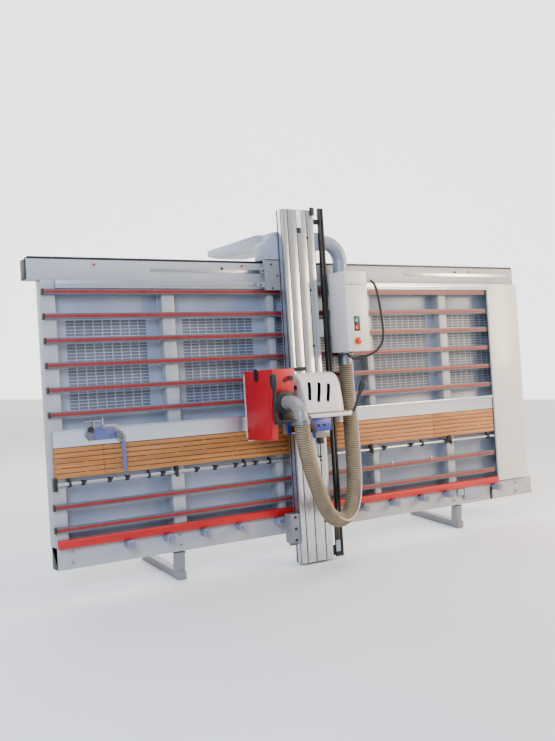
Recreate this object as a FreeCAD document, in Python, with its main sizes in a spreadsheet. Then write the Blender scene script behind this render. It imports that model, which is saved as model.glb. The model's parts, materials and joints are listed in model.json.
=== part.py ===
import FreeCAD, Part
import math
import os

import Sketcher
from FreeCAD import Matrix, Placement, Rotation, Vector

# Vertical panel saw: a leaning wall frame, a saw beam that rolls along it, a saw carriage that slides
# up and down the beam, and a saw unit on the carriage that swivels for rip cuts and plunges.
#
# Every leaned piece is drawn in the wall's own frame: x to the right along the wall, n out of the
# wall's front plane towards the operator, v up along the wall. One placement then leans them all.

doc = FreeCAD.newDocument("PanelSaw")

SIZES = [
    ("lean_angle", 6.48, "backward lean of the wall, degrees"),
    ("floor_drop", 215, "floor to the bottom beam's front lower edge"),
    ("wall", 4, "wall of the frame's steel tubes"),
    ("skin", 3, "sheet metal of covers"),
    ("frame_half", 2414, "half of the overall length"),
    ("frame_deep", 100, "depth of the posts and uprights"),
    ("top_low", 2023, "top beam's lower edge"),
    ("top_high", 2170, "top beam's upper edge"),
    ("top_right", 2337, "top beam's right end"),
    ("base_left", -2308, "bottom beam's left end"),
    ("base_high", 161, "bottom beam's upper edge"),
    ("post_left", -2320, "left post's outer edge"),
    ("post_wide", 99, "left post's width"),
    ("slat_left", -2322, "slats' left end"),
    ("slat_right", 1914, "slats' right end"),
    ("slat_first", 1937.2, "middle of the top slat"),
    ("slat_step", 171.6, "slat to slat"),
    ("slat_count", 6, "slats above the shelf"),
    ("slat_high", 40, "height of a slat"),
    ("slat_front", 38, "plane that a board leans on"),
    ("strip_high", 15, "height of the plastic strip in a slat"),
    ("low_slat_a", 437.9, "middle of the upper low slat"),
    ("low_slat_b", 281.1, "middle of the lower low slat"),
    ("rail_left", -2303, "left end of the middle rail"),
    ("rail_right", 1930, "right end of the middle rail"),
    ("rail_low", 850, "middle rail's lower edge"),
    ("rail_high", 970, "middle rail's lip"),
    ("wood_low", 635, "wooden facing's lower edge"),
    ("wood_high", 846, "wooden facing's upper edge"),
    ("wood_thick", 30, "thickness of the wooden facing"),
    ("shaft_up", 594, "axis of the small-part support shaft"),
    ("shaft_out", 22, "axis of the support shaft from the wall"),
    ("shaft_radius", 13, "support shaft's radius"),
    ("ledge_low", 150, "lower ledge's lower edge"),
    ("ledge_high", 210, "lower ledge's upper edge"),
    ("roller_radius", 30, "board roller's radius"),
    ("roller_up", 118, "board rollers' axis height"),
    ("roller_pin", 8, "radius of the rollers' pins"),
    ("running_gap", 0.05, "radial gap of a running fit"),
    ("foot_wide", 69, "width of a foot"),
    ("foot_high", 60, "height of a foot's floor leg"),
    ("foot_front", -20, "front end of a foot"),
    ("foot_back", 640, "back end of a foot"),
    ("track_out", 47, "front of the guide track's bead"),
    ("bead_low", 1984, "lower side of the track's bead"),
    ("bead_high", 1998, "upper side of the track's bead"),
    ("wheel_radius", 22, "track wheel's radius"),
    ("beam_left", -412, "saw beam's left side"),
    ("beam_right", -119, "saw beam's right side"),
    ("beam_back", 100, "saw beam's back"),
    ("beam_front", 200, "saw beam's front"),
    ("beam_low", -220, "saw beam's lower end"),
    ("beam_high", 2578, "saw beam's upper end"),
    ("beam_wall", 6, "wall of the beam's extrusion"),
    ("pipe_radius", 60, "rigid extraction pipe's radius"),
    ("pipe_wall", 3, "wall of the pipe and the elbow"),
    ("pipe_x", 189, "axis of the upright pipe"),
    ("pipe_out", 107.5, "axis of the pipe from the wall"),
    ("pipe_top", 2335, "axis of the pipe's level part"),
    ("pipe_low", 1390, "lower end of the pipe"),
    ("pipe_bend", 150, "bend radius of the pipe"),
    ("duct_low", 2190, "extraction duct's underside"),
    ("duct_high", 2410, "extraction duct's top"),
    ("box_left", 14, "control box's left side"),
    ("box_right", 257, "control box's right side"),
    ("box_back", 168, "control box's back"),
    ("box_front", 395, "control box's front"),
    ("box_low", 1425, "control box's underside"),
    ("box_high", 2065, "control box's top"),
    ("key_radius", 20, "start and stop buttons' radius"),
    ("key_x", 111, "buttons' middle"),
    ("key_travel", 4, "travel of a button"),
    ("gland_radius", 15, "radius of a cable gland"),
    ("control_cord", 20, "diameter of the control cable's sheath"),
    ("motor_cord", 14, "diameter of the motor cable"),
    ("hose_size", 116, "outer diameter of the extraction hose"),
    ("plate_low", 805, "carriage bar's lower edge"),
    ("plate_high", 897, "carriage bar's upper edge"),
    ("plate_front", 230, "carriage bar's front"),
    ("swivel_x", -712, "swivel axis"),
    ("swivel_up", 1060, "swivel axis"),
    ("hub_radius", 62, "swivel bearing's bore radius"),
    ("ring_back", 515, "swivel bracket's back face"),
    ("ring_front", 535, "swivel bracket's front face"),
    ("elbow_radius", 50, "elbow's radius"),
    ("elbow_bend", 125, "elbow's bend radius"),
    ("elbow_start", 616, "start of the elbow's bend"),
    ("elbow_end", 741, "axis of the elbow's outlet"),
    ("outlet_up", 933, "lower end of the elbow"),
    ("hood_left", -800, "blade hood's left side"),
    ("hood_low", 785, "blade hood's underside"),
    ("hood_high", 1310, "blade hood's top"),
    ("hood_back", 120, "blade hood's open back"),
    ("cover_left", -450, "motor cover's left end"),
    ("cover_right", -46, "motor cover's right end"),
    ("cover_back", 233, "motor cover's open back"),
    ("blade_x", -768, "middle plane of the blade"),
    ("blade_radius", 125, "radius of the blade"),
    ("blade_thick", 3.2, "width of the blade's teeth"),
    ("blade_out", 250, "arbor's distance from the wall at rest"),
    ("motor_out", 372, "motor's axis from the wall at rest"),
    ("motor_up", 1000, "motor's axis"),
    ("motor_radius", 50, "motor's radius"),
    ("stop_back", 46, "stop carriage's back"),
    ("stop_up", 912, "stop carriage's rollers"),
]


def write_sheet():
    sheet = doc.addObject("Spreadsheet::Sheet", "Sizes")
    for row, (alias, value, meaning) in enumerate(SIZES, start=1):
        sheet.set(f"A{row}", meaning)
        sheet.set(f"B{row}", str(value))
        sheet.setAlias(f"B{row}", alias)
    return sheet


class Size:
    """A number with the expression on the sheet that gives it."""

    def __init__(self, value, text):
        self.value = value
        self.text = text

    def __add__(self, other):
        other = size(other)
        return Size(self.value + other.value, f"({self.text} + {other.text})")

    def __sub__(self, other):
        other = size(other)
        return Size(self.value - other.value, f"({self.text} - {other.text})")

    def __mul__(self, other):
        other = size(other)
        return Size(self.value * other.value, f"({self.text} * {other.text})")

    def __truediv__(self, other):
        other = size(other)
        return Size(self.value / other.value, f"({self.text} / {other.text})")

    def __radd__(self, other):
        return size(other) + self

    def __rsub__(self, other):
        return size(other) - self

    def __rmul__(self, other):
        return size(other) * self

    def __neg__(self):
        return Size(-self.value, f"(0 - {self.text})")


def size(number):
    if isinstance(number, Size):
        return number
    return Size(float(number), f"({float(number):.6g})")


class Sheet:
    """The sheet's cells, by alias."""


write_sheet()
S = Sheet()
for alias, value, meaning in SIZES:
    setattr(S, alias, Size(float(value), f"Sizes.{alias}"))
doc.recompute()

nodes = {}
cords = {}
LEAN = Rotation(Vector(1, 0, 0), -S.lean_angle.value)


def bind(feature, **properties):
    for name, number in properties.items():
        feature.setExpression(name.replace("__", "."), size(number).text)


def place(feature, x, n, v):
    bind(feature, Placement__Base__x=x, Placement__Base__y=-size(n), Placement__Base__z=v)
    return feature


def block(x, n, v):
    """A box from three (low, high) pairs."""
    box = doc.addObject("Part::Box", "Block")
    bind(box, Length=x[1] - size(x[0]), Width=n[1] - size(n[0]), Height=v[1] - size(v[0]))
    return place(box, x[0], n[1], v[0])


AXES = {
    "x": Rotation(Vector(0, 1, 0), 90),
    "n": Rotation(Vector(1, 0, 0), 90),
    "v": Rotation(),
}


def rod(axis, radius, span, across):
    """A cylinder along one axis; span is (low, high) and across the other two coordinates in order."""
    cylinder = doc.addObject("Part::Cylinder", "Rod")
    cylinder.Placement = Placement(Vector(), AXES[axis])
    bind(cylinder, Radius=radius, Height=span[1] - size(span[0]))
    start = {"x": (span[0], *across), "n": (across[0], span[0], across[1]), "v": (*across, span[0])}
    return place(cylinder, *start[axis])


def cone(axis, radii, span, across):
    taper = doc.addObject("Part::Cone", "Taper")
    taper.Placement = Placement(Vector(), AXES[axis])
    bind(taper, Radius1=radii[0], Radius2=radii[1], Height=span[1] - size(span[0]))
    start = {"x": (span[0], *across), "n": (across[0], span[0], across[1]), "v": (*across, span[0])}
    return place(taper, *start[axis])


def quarter_ring(bend, radius, centre, towards):
    """A quarter torus from the first direction to the second."""
    ring = doc.addObject("Part::Torus", "Bend")
    third = towards[0].cross(towards[1])
    turn = Matrix(towards[0], towards[1], third)
    ring.Placement = Placement(Vector(), Rotation(turn))
    bind(ring, Radius1=bend, Radius2=radius)
    ring.Angle3 = 90
    return place(ring, *centre)


def fuse(*shapes):
    joined = doc.addObject("Part::MultiFuse", "Joined")
    joined.Shapes = list(shapes)
    return joined


def group(*shapes):
    together = doc.addObject("Part::Compound", "Group")
    together.Links = list(shapes)
    return together


def cut(base, *tools):
    result = doc.addObject("Part::Cut", "Cut")
    result.Base = base
    result.Tool = tools[0] if len(tools) == 1 else fuse(*tools)
    return result


def hollow_box(x, n, v, thick, along="v"):
    """A tube of rectangular section, open at both ends of one axis."""
    inner = {"x": x, "n": n, "v": v}
    for axis, span in inner.items():
        grow = 1 if axis == along else -thick
        inner[axis] = (span[0] - size(grow), span[1] + size(grow))
    return cut(block(x, n, v), block(inner["x"], inner["n"], inner["v"]))


def tube(axis, outer, inner, span, across):
    bore_span = (span[0] - size(1), span[1] + size(1))
    return cut(rod(axis, outer, span, across), rod(axis, inner, bore_span, across))


PLANES = {"x": "YZ_Plane", "n": "XZ_Plane", "v": "XY_Plane"}


def prism(axis, corners, span):
    """A padded sketch; corners are the two other coordinates, and span is (low, high) along the axis."""
    body = doc.addObject("PartDesign::Body", "Profile")
    plane = [p for p in body.Origin.OriginFeatures if p.Role == PLANES[axis]][0]
    sketch = body.newObject("Sketcher::SketchObject", "Outline")
    sketch.AttachmentSupport = [(plane, "")]
    sketch.MapMode = "FlatFace"
    sketch.setExpression("AttachmentOffset.Base.z", size(span[0]).text)
    points = []
    for a, b in corners:
        across = {"x": (-size(a), size(b)), "n": (size(a), size(b)), "v": (size(a), -size(b))}[axis]
        points.append(across)
    count = len(points)
    for i, (a, b) in enumerate(points):
        c, d = points[(i + 1) % count]
        sketch.addGeometry(Part.LineSegment(Vector(a.value, b.value, 0), Vector(c.value, d.value, 0)))
    for i in range(count):
        sketch.addConstraint(Sketcher.Constraint("Coincident", i, 2, (i + 1) % count, 1))
    for i, (a, b) in enumerate(points):
        for kind, number in (("DistanceX", a), ("DistanceY", b)):
            index = sketch.addConstraint(Sketcher.Constraint(kind, -1, 1, i, 1, number.value))
            sketch.setExpression(f"Constraints[{index}]", number.text)
    pad = body.newObject("PartDesign::Pad", "Pad")
    pad.Profile = sketch
    bind(pad, Length=span[1] - size(span[0]))
    sketch.Visibility = False
    return body


def node(label, feature, leaned=True):
    """Names a finished sub-part; leaned ones get the wall's placement."""
    if label in nodes:
        raise ValueError(f"{label} is made twice")
    whole = group(feature)
    whole.Label = label
    nodes[label] = (whole, leaned)


# ---------------------------------------------------------------- the wall frame

BAY_EDGES = [(-1403, -1301), (-476, -416), (506, 566), (1357, 1444)]
PANEL_BACK = -93
PANEL_FRONT = -91


def slat_levels():
    """Middles of the slats, from the top one down."""
    levels = [S.slat_first - S.slat_step * i for i in range(int(S.slat_count.value))]
    return levels + [S.low_slat_a, S.low_slat_b]


def frame_beams():
    left = -S.frame_half
    node("top_beam", hollow_box((left, S.top_right), (-107, 0), (S.top_low, S.top_high), S.wall, "x"))
    node("bottom_beam", hollow_box((S.base_left, S.frame_half), (-115, 0), (0, S.base_high), S.wall, "x"))


def frame_posts():
    height = (S.base_high, S.top_low)
    depth = (-S.frame_deep, 0)
    left = hollow_box((S.post_left, S.post_left + S.post_wide), depth, height, S.wall)
    right = hollow_box((2247, 2314), depth, height, S.wall)
    node("end_posts", group(left, right))
    node("uprights", group(*[hollow_box(edges, depth, height, S.wall) for edges in BAY_EDGES]))


def bays():
    """The (left, right) edges of the clear bays between the posts and uprights."""
    edges = [S.post_left + S.post_wide]
    for low, high in BAY_EDGES:
        edges += [size(low), size(high)]
    edges.append(size(2247))
    return [(edges[i] + 0.5, edges[i + 1] - 0.5) for i in range(0, len(edges), 2)]


def cross_rails():
    rails = [hollow_box(bay, (-90, -40), (885, 935), S.wall, "x") for bay in bays()]
    node("cross_rails", group(*rails))


def panels():
    thick = (PANEL_BACK, PANEL_FRONT)
    upper = S.slat_first - S.slat_step
    lower = S.slat_first - S.slat_step * 5
    holed = [block(bay, thick, (lower, upper)) for bay in bays()]
    node("perforated_panels", group(*holed))
    plain = []
    for bay in bays():
        plain.append(block(bay, thick, (upper + 0.5, S.top_low - 0.5)))
        plain.append(block(bay, thick, (S.base_high + 0.5, lower - 0.5)))
    node("plain_panels", group(*plain))


def slats():
    half = S.slat_high / 2
    half_strip = S.strip_high / 2
    length = (S.slat_left, S.slat_right)
    profiles = []
    strips = []
    for level in slat_levels():
        bar = block(length, (0, S.slat_front - 3), (level - half, level + half))
        groove = block((S.slat_left - 1, S.slat_right + 1), (S.slat_front - 12, S.slat_front),
                       (level - half_strip, level + half_strip))
        profiles.append(cut(bar, groove))
        strips.append(block(length, (S.slat_front - 12, S.slat_front), (level - half_strip, level + half_strip)))
    node("slat_profiles", group(*profiles))
    node("slat_strips", group(*strips))


def shelf():
    length = (S.rail_left, S.rail_right)
    face = [(0, S.rail_low), (30, S.rail_low), (30, S.rail_high - 14), (44, S.rail_high - 14),
            (44, S.rail_high), (38, S.rail_high), (38, S.rail_high - 8), (0, S.rail_high - 8)]
    node("mid_rails", prism("x", face, length))
    seams = [-2303, -1940, 1180, 1930]
    groove_levels = [S.wood_low + (S.wood_high - S.wood_low) * share / 5 for share in (1, 2, 3, 4)]
    boards = []
    for left, right in zip(seams, seams[1:]):
        board = block((left + 1, right - 1), (0, S.wood_thick), (S.wood_low, S.wood_high))
        grooves = [block((left, right), (S.wood_thick - 5, S.wood_thick + 1), (level - 4, level + 4))
                   for level in groove_levels]
        boards.append(cut(board, *grooves))
    node("wood_panels", group(*boards))
    edge = [(0, S.ledge_low), (S.slat_front, S.ledge_low), (S.slat_front, S.ledge_high - 10),
            (S.slat_front - 10, S.ledge_high), (0, S.ledge_high)]
    node("lower_ledge", prism("x", edge, (-2301, 1949)))


PAWLS = (-2103, -1908, -1774, -1494, -1213, -1055, -875, -695, 601, 901, 1318)
BRACKETS = (-2200, -1600, -1380, -790, -560, 463, 1040, 1365, 1850)


def support_shaft():
    at = (S.shaft_out, S.shaft_up)
    bore = S.shaft_radius + S.running_gap
    hangers = []
    for x in BRACKETS:
        span = (x - 8, x + 8)
        plate = fuse(block(span, (0, 24), (S.shaft_up - 22, S.shaft_up + 36)), rod("x", 22, span, at))
        hangers.append(cut(plate, rod("x", bore, (x - 9, x + 9), at)))
    node("shaft_brackets", group(*hangers))
    node("support_shaft", rod("x", S.shaft_radius, (-2290, 1925), at))
    fingers = []
    for x in PAWLS:
        arm = fuse(rod("x", 19, (x - 14, x + 14), at),
                   block((x - 14, x + 14), (S.shaft_out, 64), (S.shaft_up + 3, S.shaft_up + 19)))
        fingers.append(cut(arm, rod("x", S.shaft_radius, (x - 15, x + 15), at)))
    node("support_pawls", group(*fingers))


ROLLERS = (-1787, -1477, -1173, -866, -517, 332, 669, 999, 1296, 1902)


def board_rollers():
    bore = S.roller_pin + S.running_gap
    for number, x in enumerate(ROLLERS, start=1):
        at = (x, S.roller_up)
        drum = fuse(rod("n", S.roller_radius, (6, 76), at), rod("n", S.roller_radius + 4, (76, 88), at))
        node(f"roller_{number}", cut(drum, rod("n", bore, (5, 89), at)))


def feet():
    """Two floor legs, each with a leaning post up to the bottom beam; built upright, not leaned."""
    height = (-S.floor_drop, S.foot_high - S.floor_drop)
    made = []
    for left in (-1398, 1429):
        across = (left, left + S.foot_wide)
        leg = block(across, (-S.foot_back, -S.foot_front), height)
        post = block(across, (-72, -4), (-S.floor_drop + 20, -13))
        plate = block((left - 12, left + S.foot_wide + 12), (-100, -4), (-21, -13))
        made.append(fuse(leg, post, plate))
    node("feet", group(*made), leaned=False)


def frame_details():
    bolts = []
    for x in (-2200, -1364, 1400, 2200):
        for level in (45, 120):
            bolts.append(rod("n", 9, (0.2, 8), (x, level)))
    for x in ROLLERS:
        at = (x, S.roller_up)
        bolts.append(fuse(rod("n", S.roller_pin, (0, 90), at), rod("n", 13, (88.5, 95), at)))
    node("frame_fasteners", group(*bolts))
    panel = cut(block((1950, 2340), (0.2, 38), (170, 2018)), block((1953, 2337), (-1, 35), (173, 2015)))
    window = block((1949, 1954), (-1, 20), (172, 2016))
    node("end_panel", cut(panel, window))
    inset = S.wall + 0.3
    top = (S.top_low + inset, S.top_high - inset)
    caps = []
    for end, way, level, depth in ((-S.frame_half, 1, top, -107), (S.top_right, -1, top, -107),
                                   (S.base_left, 1, (inset, S.base_high - inset), -115),
                                   (S.frame_half, -1, (inset, S.base_high - inset), -115)):
        span = (end, end + 12) if way > 0 else (end - 12, end)
        caps.append(block(span, (depth + inset, -inset), level))
    node("end_caps", group(*caps))


def top_guides():
    sub_rail = block((-2224, 1948), (0.2, 36), (1962, S.top_low - 4))
    bead = block((-2224, 1948), (36, S.track_out), (S.bead_low, S.bead_high))
    strip = block((-2400, 2330), (-80, -2), (S.top_high, S.top_high + 12))
    node("top_track", group(sub_rail, bead, strip))
    scale = [block((-1484, -506), (0, 3), (2088, 2118)), block((975, 2241), (0, 3), (2088, 2118))]
    node("rule_rail", group(*scale))


# ---------------------------------------------------------------- the saw beam

GROOVES = (-365, -280, -185)


def saw_beam():
    x = (S.beam_left, S.beam_right)
    n = (S.beam_back, S.beam_front)
    v = (S.beam_low, S.beam_high)
    shell = hollow_box(x, n, v, S.beam_wall)
    slots = [block((g - 5, g + 5), (S.beam_front - 4, S.beam_front + 1), (S.beam_low - 1, S.beam_high + 1))
             for g in GROOVES]
    node("beam_profile", cut(shell, *slots))


TRACK_WHEELS = (-500, -160)


def beam_carriages():
    plate = block((-541, S.beam_right), (72, S.beam_back), (1945, 2182))
    pins = [rod("n", 8, (38, 72), (x, S.bead_high + S.wheel_radius + 0.3)) for x in TRACK_WHEELS]
    keeper = block((-618, -541), (72, 94), (1968, 2007))
    latch = block((-573, -541), (72, 94), (2079, 2118))
    lower = block((-495, S.beam_left), (98, 190), (-50, 175))
    shoe = block((-470, -420), (98, 130), (-78, -50))
    node("beam_carriages", group(fuse(plate, keeper, latch, *pins), fuse(lower, shoe)))
    bore = S.running_gap + 8
    for number, x in enumerate(TRACK_WHEELS, start=1):
        at = (x, S.bead_high + S.wheel_radius + 0.3)
        node(f"track_wheel_{number}", tube("n", S.wheel_radius, bore, (39, 58), at))


def extraction_duct():
    low = S.duct_low
    high = S.duct_high
    outline = [(-530, low), (-41, low), (-41, high), (-440, high), (-530, high - 100)]
    inner = [(-527, low + 3), (-44, low + 3), (-44, high - 3), (-439, high - 3), (-527, high - 101)]
    trunk = cut(prism("n", outline, (-60, S.beam_back)), prism("n", inner, (-57, S.beam_back - 3)))
    side = [(-900, high - 55), (-900, high), (-60, high), (-60, high - 130), (-700, high - 100)]
    arm = prism("x", side, (-500, -250))
    side_inner = [(-880, high - 52), (-880, high - 3), (-63, high - 3), (-63, high - 127), (-702, high - 97)]
    arm = cut(arm, prism("x", side_inner, (-497, -253)))
    mouth_n = (S.beam_back - 20, S.pipe_out + S.pipe_radius)
    mouth = block((S.beam_right + 0.5, -41), mouth_n, (S.pipe_top - 70, S.pipe_top + 70))
    passage = rod("x", S.pipe_radius - 8, (S.beam_right + 5, 0), (S.pipe_out, S.pipe_top))
    node("extraction_duct", fuse(trunk, arm, cut(mouth, passage)))


def rigid_pipe():
    def line(radius, extra):
        bend_x = S.pipe_x - S.pipe_bend
        bend_up = S.pipe_top - S.pipe_bend
        level = rod("x", radius, (-41 - extra, bend_x), (S.pipe_out, S.pipe_top))
        corner = quarter_ring(S.pipe_bend, radius, (bend_x, S.pipe_out, bend_up), (Vector(1, 0, 0), Vector(0, 0, 1)))
        upright = rod("v", radius, (S.pipe_low - extra, bend_up), (S.pipe_x, S.pipe_out))
        return [level, corner, upright]
    inner = fuse(*line(S.pipe_radius - S.pipe_wall, 1))
    node("rigid_pipe", cut(fuse(*line(S.pipe_radius, 0)), inner))


START_UP = 1672
STOP_UP = 1616
EMERGENCY_UP = 1504


def control_box():
    left = S.box_left
    right = S.box_right
    bevel = 25
    outline = [(left, S.box_back), (right + 6, S.box_back), (right + 6, S.box_front - 60),
               (right - bevel, S.box_front), (left, S.box_front)]
    inner = [(left + 3, S.box_back + 3), (right + 3, S.box_back + 3), (right + 3, S.box_front - 62),
             (right - bevel - 2, S.box_front - 3), (left + 3, S.box_front - 3)]
    shell = cut(prism("v", outline, (S.box_low, S.box_high)),
                prism("v", inner, (S.box_low + 3, S.box_high - 3)))
    holes = [rod("n", S.key_radius + 0.5, (S.box_front - 8, S.box_front + 1), (S.key_x, START_UP)),
             rod("n", S.key_radius + 0.5, (S.box_front - 8, S.box_front + 1), (S.key_x, STOP_UP)),
             rod("n", 12.5, (S.box_front - 8, S.box_front + 1), (S.key_x - 5, EMERGENCY_UP))]
    bracket = fuse(block((S.beam_right + 0.2, 110), (130, 150), (1560, 1700)),
                   block((20, 110), (150, S.box_back), (1560, 1700)))
    side_gland = cut(rod("x", S.gland_radius, (right + 4, 277), (370, 2000)),
                     rod("x", S.gland_radius - 3.4, (273.5, 278), (370, 2000)))
    motor_gland = cut(rod("v", S.gland_radius, (S.box_low - 35, S.box_low + 1), (122, 290)),
                      rod("v", S.motor_cord / 2 + 1.2, (S.box_low - 36, S.box_low - 33.5), (122, 290)))
    low_gland = cut(rod("v", S.gland_radius + 2, (S.box_low - 8, S.box_low + 1), (51, 318.8)),
                    rod("v", S.gland_radius - 2.5, (S.box_low - 9, S.box_low - 1.5), (51, 318.8)))
    cabinet = fuse(cut(shell, *holes), side_gland, motor_gland, low_gland)
    node("control_box", group(cabinet, bracket))
    for label, level in (("start_button", START_UP), ("stop_button", STOP_UP)):
        node(label, rod("n", S.key_radius, (S.box_front - 10, S.box_front + 6), (S.key_x, level)))
    at = (S.key_x - 5, EMERGENCY_UP)
    stem = rod("n", 12, (S.box_front - 14, S.box_front + 9), at)
    node("emergency_stop", fuse(stem, cone("n", (20, 28), (S.box_front + 9, S.box_front + 26), at)))


def stop_rod():
    channel = cut(block((-58, -15), (168, 200), (-212, 2600)), block((-42, -31), (190, 201), (-213, 2601)))
    top = block((S.beam_right + 0.2, -57), (168, 182), (2470, 2510))
    foot = block((S.beam_right + 0.2, -57), (170, 190), (-200, -120))
    shield = block((-99, -42), (200, 206), (-210, 81))
    node("stop_rod", fuse(channel, top, foot, shield))


def balance():
    node("counterweight", block((-236, -134), (116, 184), (1250, 1560)))
    at = (-182, 2500)
    wheel = fuse(rod("n", 46, (136, 142), at), rod("n", 40, (142, 158), at), rod("n", 46, (158, 164), at))
    node("balance_pulley", cut(wheel, rod("n", 8 + S.running_gap, (135, 165), at)))


# ---------------------------------------------------------------- the saw carriage

def carriage_plate():
    bar = block((-469, -82), (203, S.plate_front), (S.plate_low, S.plate_high))
    back = block((-421, -75), (203, 223), (S.plate_high - 1, 1270))
    side = block((-420, S.beam_left - 1), (104, 204), (S.plate_low, S.plate_high))
    end = block((-464, S.beam_left - 1), (104, 118), (S.plate_low - 4, S.plate_high + 4))
    pad = block((-242, -105), (203, 226), (755, S.plate_low + 1))
    clamp = block((-203, -162), (203, 222), (707, 756))
    gauge = rod("v", 4, (592, 708), (-192, 212))
    node("carriage_plate", fuse(bar, back, side, end, pad, clamp, gauge))


def swivel_bracket():
    centre = (S.swivel_x, S.swivel_up)
    span = (S.ring_back, S.ring_front)
    ring = rod("n", 80, span, centre)
    web = block((-740, -637), span, (920, S.swivel_up + 77))
    bar = block((-800, -480), span, (905, 945))
    arm_outline = [(-560, 905), (-440, 820), (-440, 870), (-500, 945), (-560, 945)]
    arm = prism("n", arm_outline, span)
    column = block((-480, -440), (S.plate_front, S.ring_front), (820, 868))
    lugs = [block((x, x + 14), (S.ring_front - 1, 614), (911, 939)) for x in (-790, -680)]
    gland = rod("v", S.gland_radius - 2, (900, 922), (-560, 560))
    cord_seat = rod("v", S.motor_cord / 2 + 1.2, (899, 902), (-560, 560))
    gland_arm = block((-575, -545), (S.ring_front - 1, 575), (918, 940))
    solid = fuse(ring, web, bar, arm, column, gland, gland_arm, *lugs)
    bore = rod("n", S.hub_radius, (S.ring_back - 1, S.ring_front + 1), centre)
    lever_bore = rod("x", 8 + S.running_gap, (-791, -665), (600, 925))
    node("swivel_bracket", cut(solid, bore, lever_bore, cord_seat))


def elbow():
    def line(radius, extra):
        inlet = rod("n", radius, (S.ring_front + 0.3 - extra, S.elbow_start), (S.swivel_x, S.swivel_up))
        centre = (S.swivel_x, S.elbow_start, S.swivel_up - S.elbow_bend)
        bend = quarter_ring(S.elbow_bend, radius, centre, (Vector(0, -1, 0), Vector(0, 0, 1)))
        outlet = rod("v", radius, (S.outlet_up - extra, S.swivel_up - S.elbow_bend), (S.swivel_x, S.elbow_end))
        return [inlet, bend, outlet]
    flange = rod("n", 76, (S.ring_front, S.ring_front + 6), (S.swivel_x, S.swivel_up))
    inner = fuse(*line(S.elbow_radius - S.pipe_wall, 4))
    node("elbow", cut(fuse(flange, *line(S.elbow_radius, 0)), inner))


def clamp_lever():
    bar = rod("x", 8, (-846, -655), (600, 925))
    shaft = rod("v", 8, (925, 1170), (-838, 600))
    grip = rod("v", 13, (1170, 1274), (-838, 600))
    node("clamp_lever", fuse(bar, shaft, grip))


# ---------------------------------------------------------------- the swivelling saw unit

def blade_hood():
    """A welded hood of flat sheets, open at the back; the arbor passes a slot in its right side."""
    left = S.hood_left
    back = S.hood_back
    low = S.hood_low
    high = S.hood_high
    skin = S.skin
    step = 1137
    front_low = 454
    front_step = 505
    front_high = 530
    slot_n = (S.blade_out - 108, S.blade_out + 22)
    slot_v = (S.swivel_up - 22, S.swivel_up + 22)
    side_right = (-738, -735)
    head_right = (-609, -606)
    outer = prism("x", [(back, low), (front_low, low), (front_step, step), (front_high, high), (back, high)],
                  (left, left + skin))
    below = prism("x", [(back, low), (front_low - 3, low), (487, slot_v[0]), (back, slot_v[0])], side_right)
    behind = block(side_right, (back, slot_n[0]), slot_v)
    before = block(side_right, (slot_n[1], 485), slot_v)
    above = prism("x", [(back, slot_v[1]), (493, slot_v[1]), (500, step), (back, step)], side_right)
    floor = block((left + skin, side_right[0]), (back, 448), (low, low + skin))
    face_low = prism("x", [(front_low - 4, low), (front_low, low), (front_step, step), (front_step - 4, step)],
                     (left + skin, side_right[0]))
    shelf_sheet = block((side_right[0], head_right[1]), (back, front_step - 5), (step, step + skin))
    head_side = prism("x", [(back, step + skin), (front_step - 4, step + skin), (front_high - 4, high), (back, high)],
                      head_right)
    roof = block((left + skin, head_right[0]), (back, front_high - 6), (high - skin, high))
    face_high = prism("x", [(front_step - 4, step), (front_step, step), (front_high, high), (front_high - 4, high)],
                      (left + skin, head_right[1]))
    node("blade_hood", group(outer, below, behind, before, above, floor, face_low, shelf_sheet, head_side, roof,
                             face_high))


def motor_cover():
    back = S.cover_back
    face = [(back, 945), (back, 1276), (287, 1270), (340, 1245), (387, 1174), (423, 1066), (445, 972),
            (479, 951), (479, 932), (430, 932), (430, 945)]
    inner = [(back - 1, 948), (back - 1, 1273), (286, 1267), (338, 1242), (384, 1172), (420, 1065),
             (441, 969), (441, 948)]
    shell = cut(prism("x", face, (S.cover_left, S.cover_right)),
                prism("x", inner, (S.cover_left - 1, S.cover_right - 3)))
    trim = prism("n", [(-180, 1290), (-40, 1290), (-40, 1190), (-56, 1236), (-108, 1268)], (200, 500))
    boss = rod("x", 16, (-72, S.cover_right), (456, 944))
    bore = rod("x", 8 + S.running_gap, (-105, -45), (456, 944))
    node("motor_cover", cut(fuse(cut(shell, trim), boss), bore))


def saw_frame():
    centre = (S.swivel_x, S.swivel_up)
    hub_wall = S.hub_radius - S.running_gap
    hub = tube("n", hub_wall, 52, (508, S.ring_front), centre)
    front = block((-735, -590), (455, 475), (905, 1134))
    neck = rod("n", hub_wall, (455, 509), centre)
    passage = rod("n", 52, (454, 510), centre)
    notch = block((-800, -734.7), (440, 507), (900, 1140))
    link = block((-606, -451), (447, 475), (1100, 1134))
    arm = block((-606, -451), (440, 475), (985, 1015))
    shoe = block((-605.7, -590), (455, 475), (1134, 1300))
    lug = block((-605.7, -592), (474, 516), (1288, 1308))
    grip = rod("x", 14, (-605.7, -497), (515, S.hood_high - 8))
    node("saw_frame", cut(fuse(hub, front, neck, link, arm, shoe, lug, grip), passage, notch))


def plunge_lever():
    pin = rod("x", 8, (-103, -62), (456, 944))
    bend = rod("x", 8, (-70, -36), (456, 944))
    route = [(-44, 944), (-33, 936), (28, 1028), (62, 1104), (48, 1110), (15, 1036), (-44, 956)]
    shaft = prism("n", route, (449, 463))
    grip_line = [(44, 1106), (64, 1098), (104, 1172), (96, 1186), (80, 1184)]
    grip = prism("n", grip_line, (444, 468))
    node("plunge_lever", fuse(pin, bend, shaft, grip))


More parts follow.
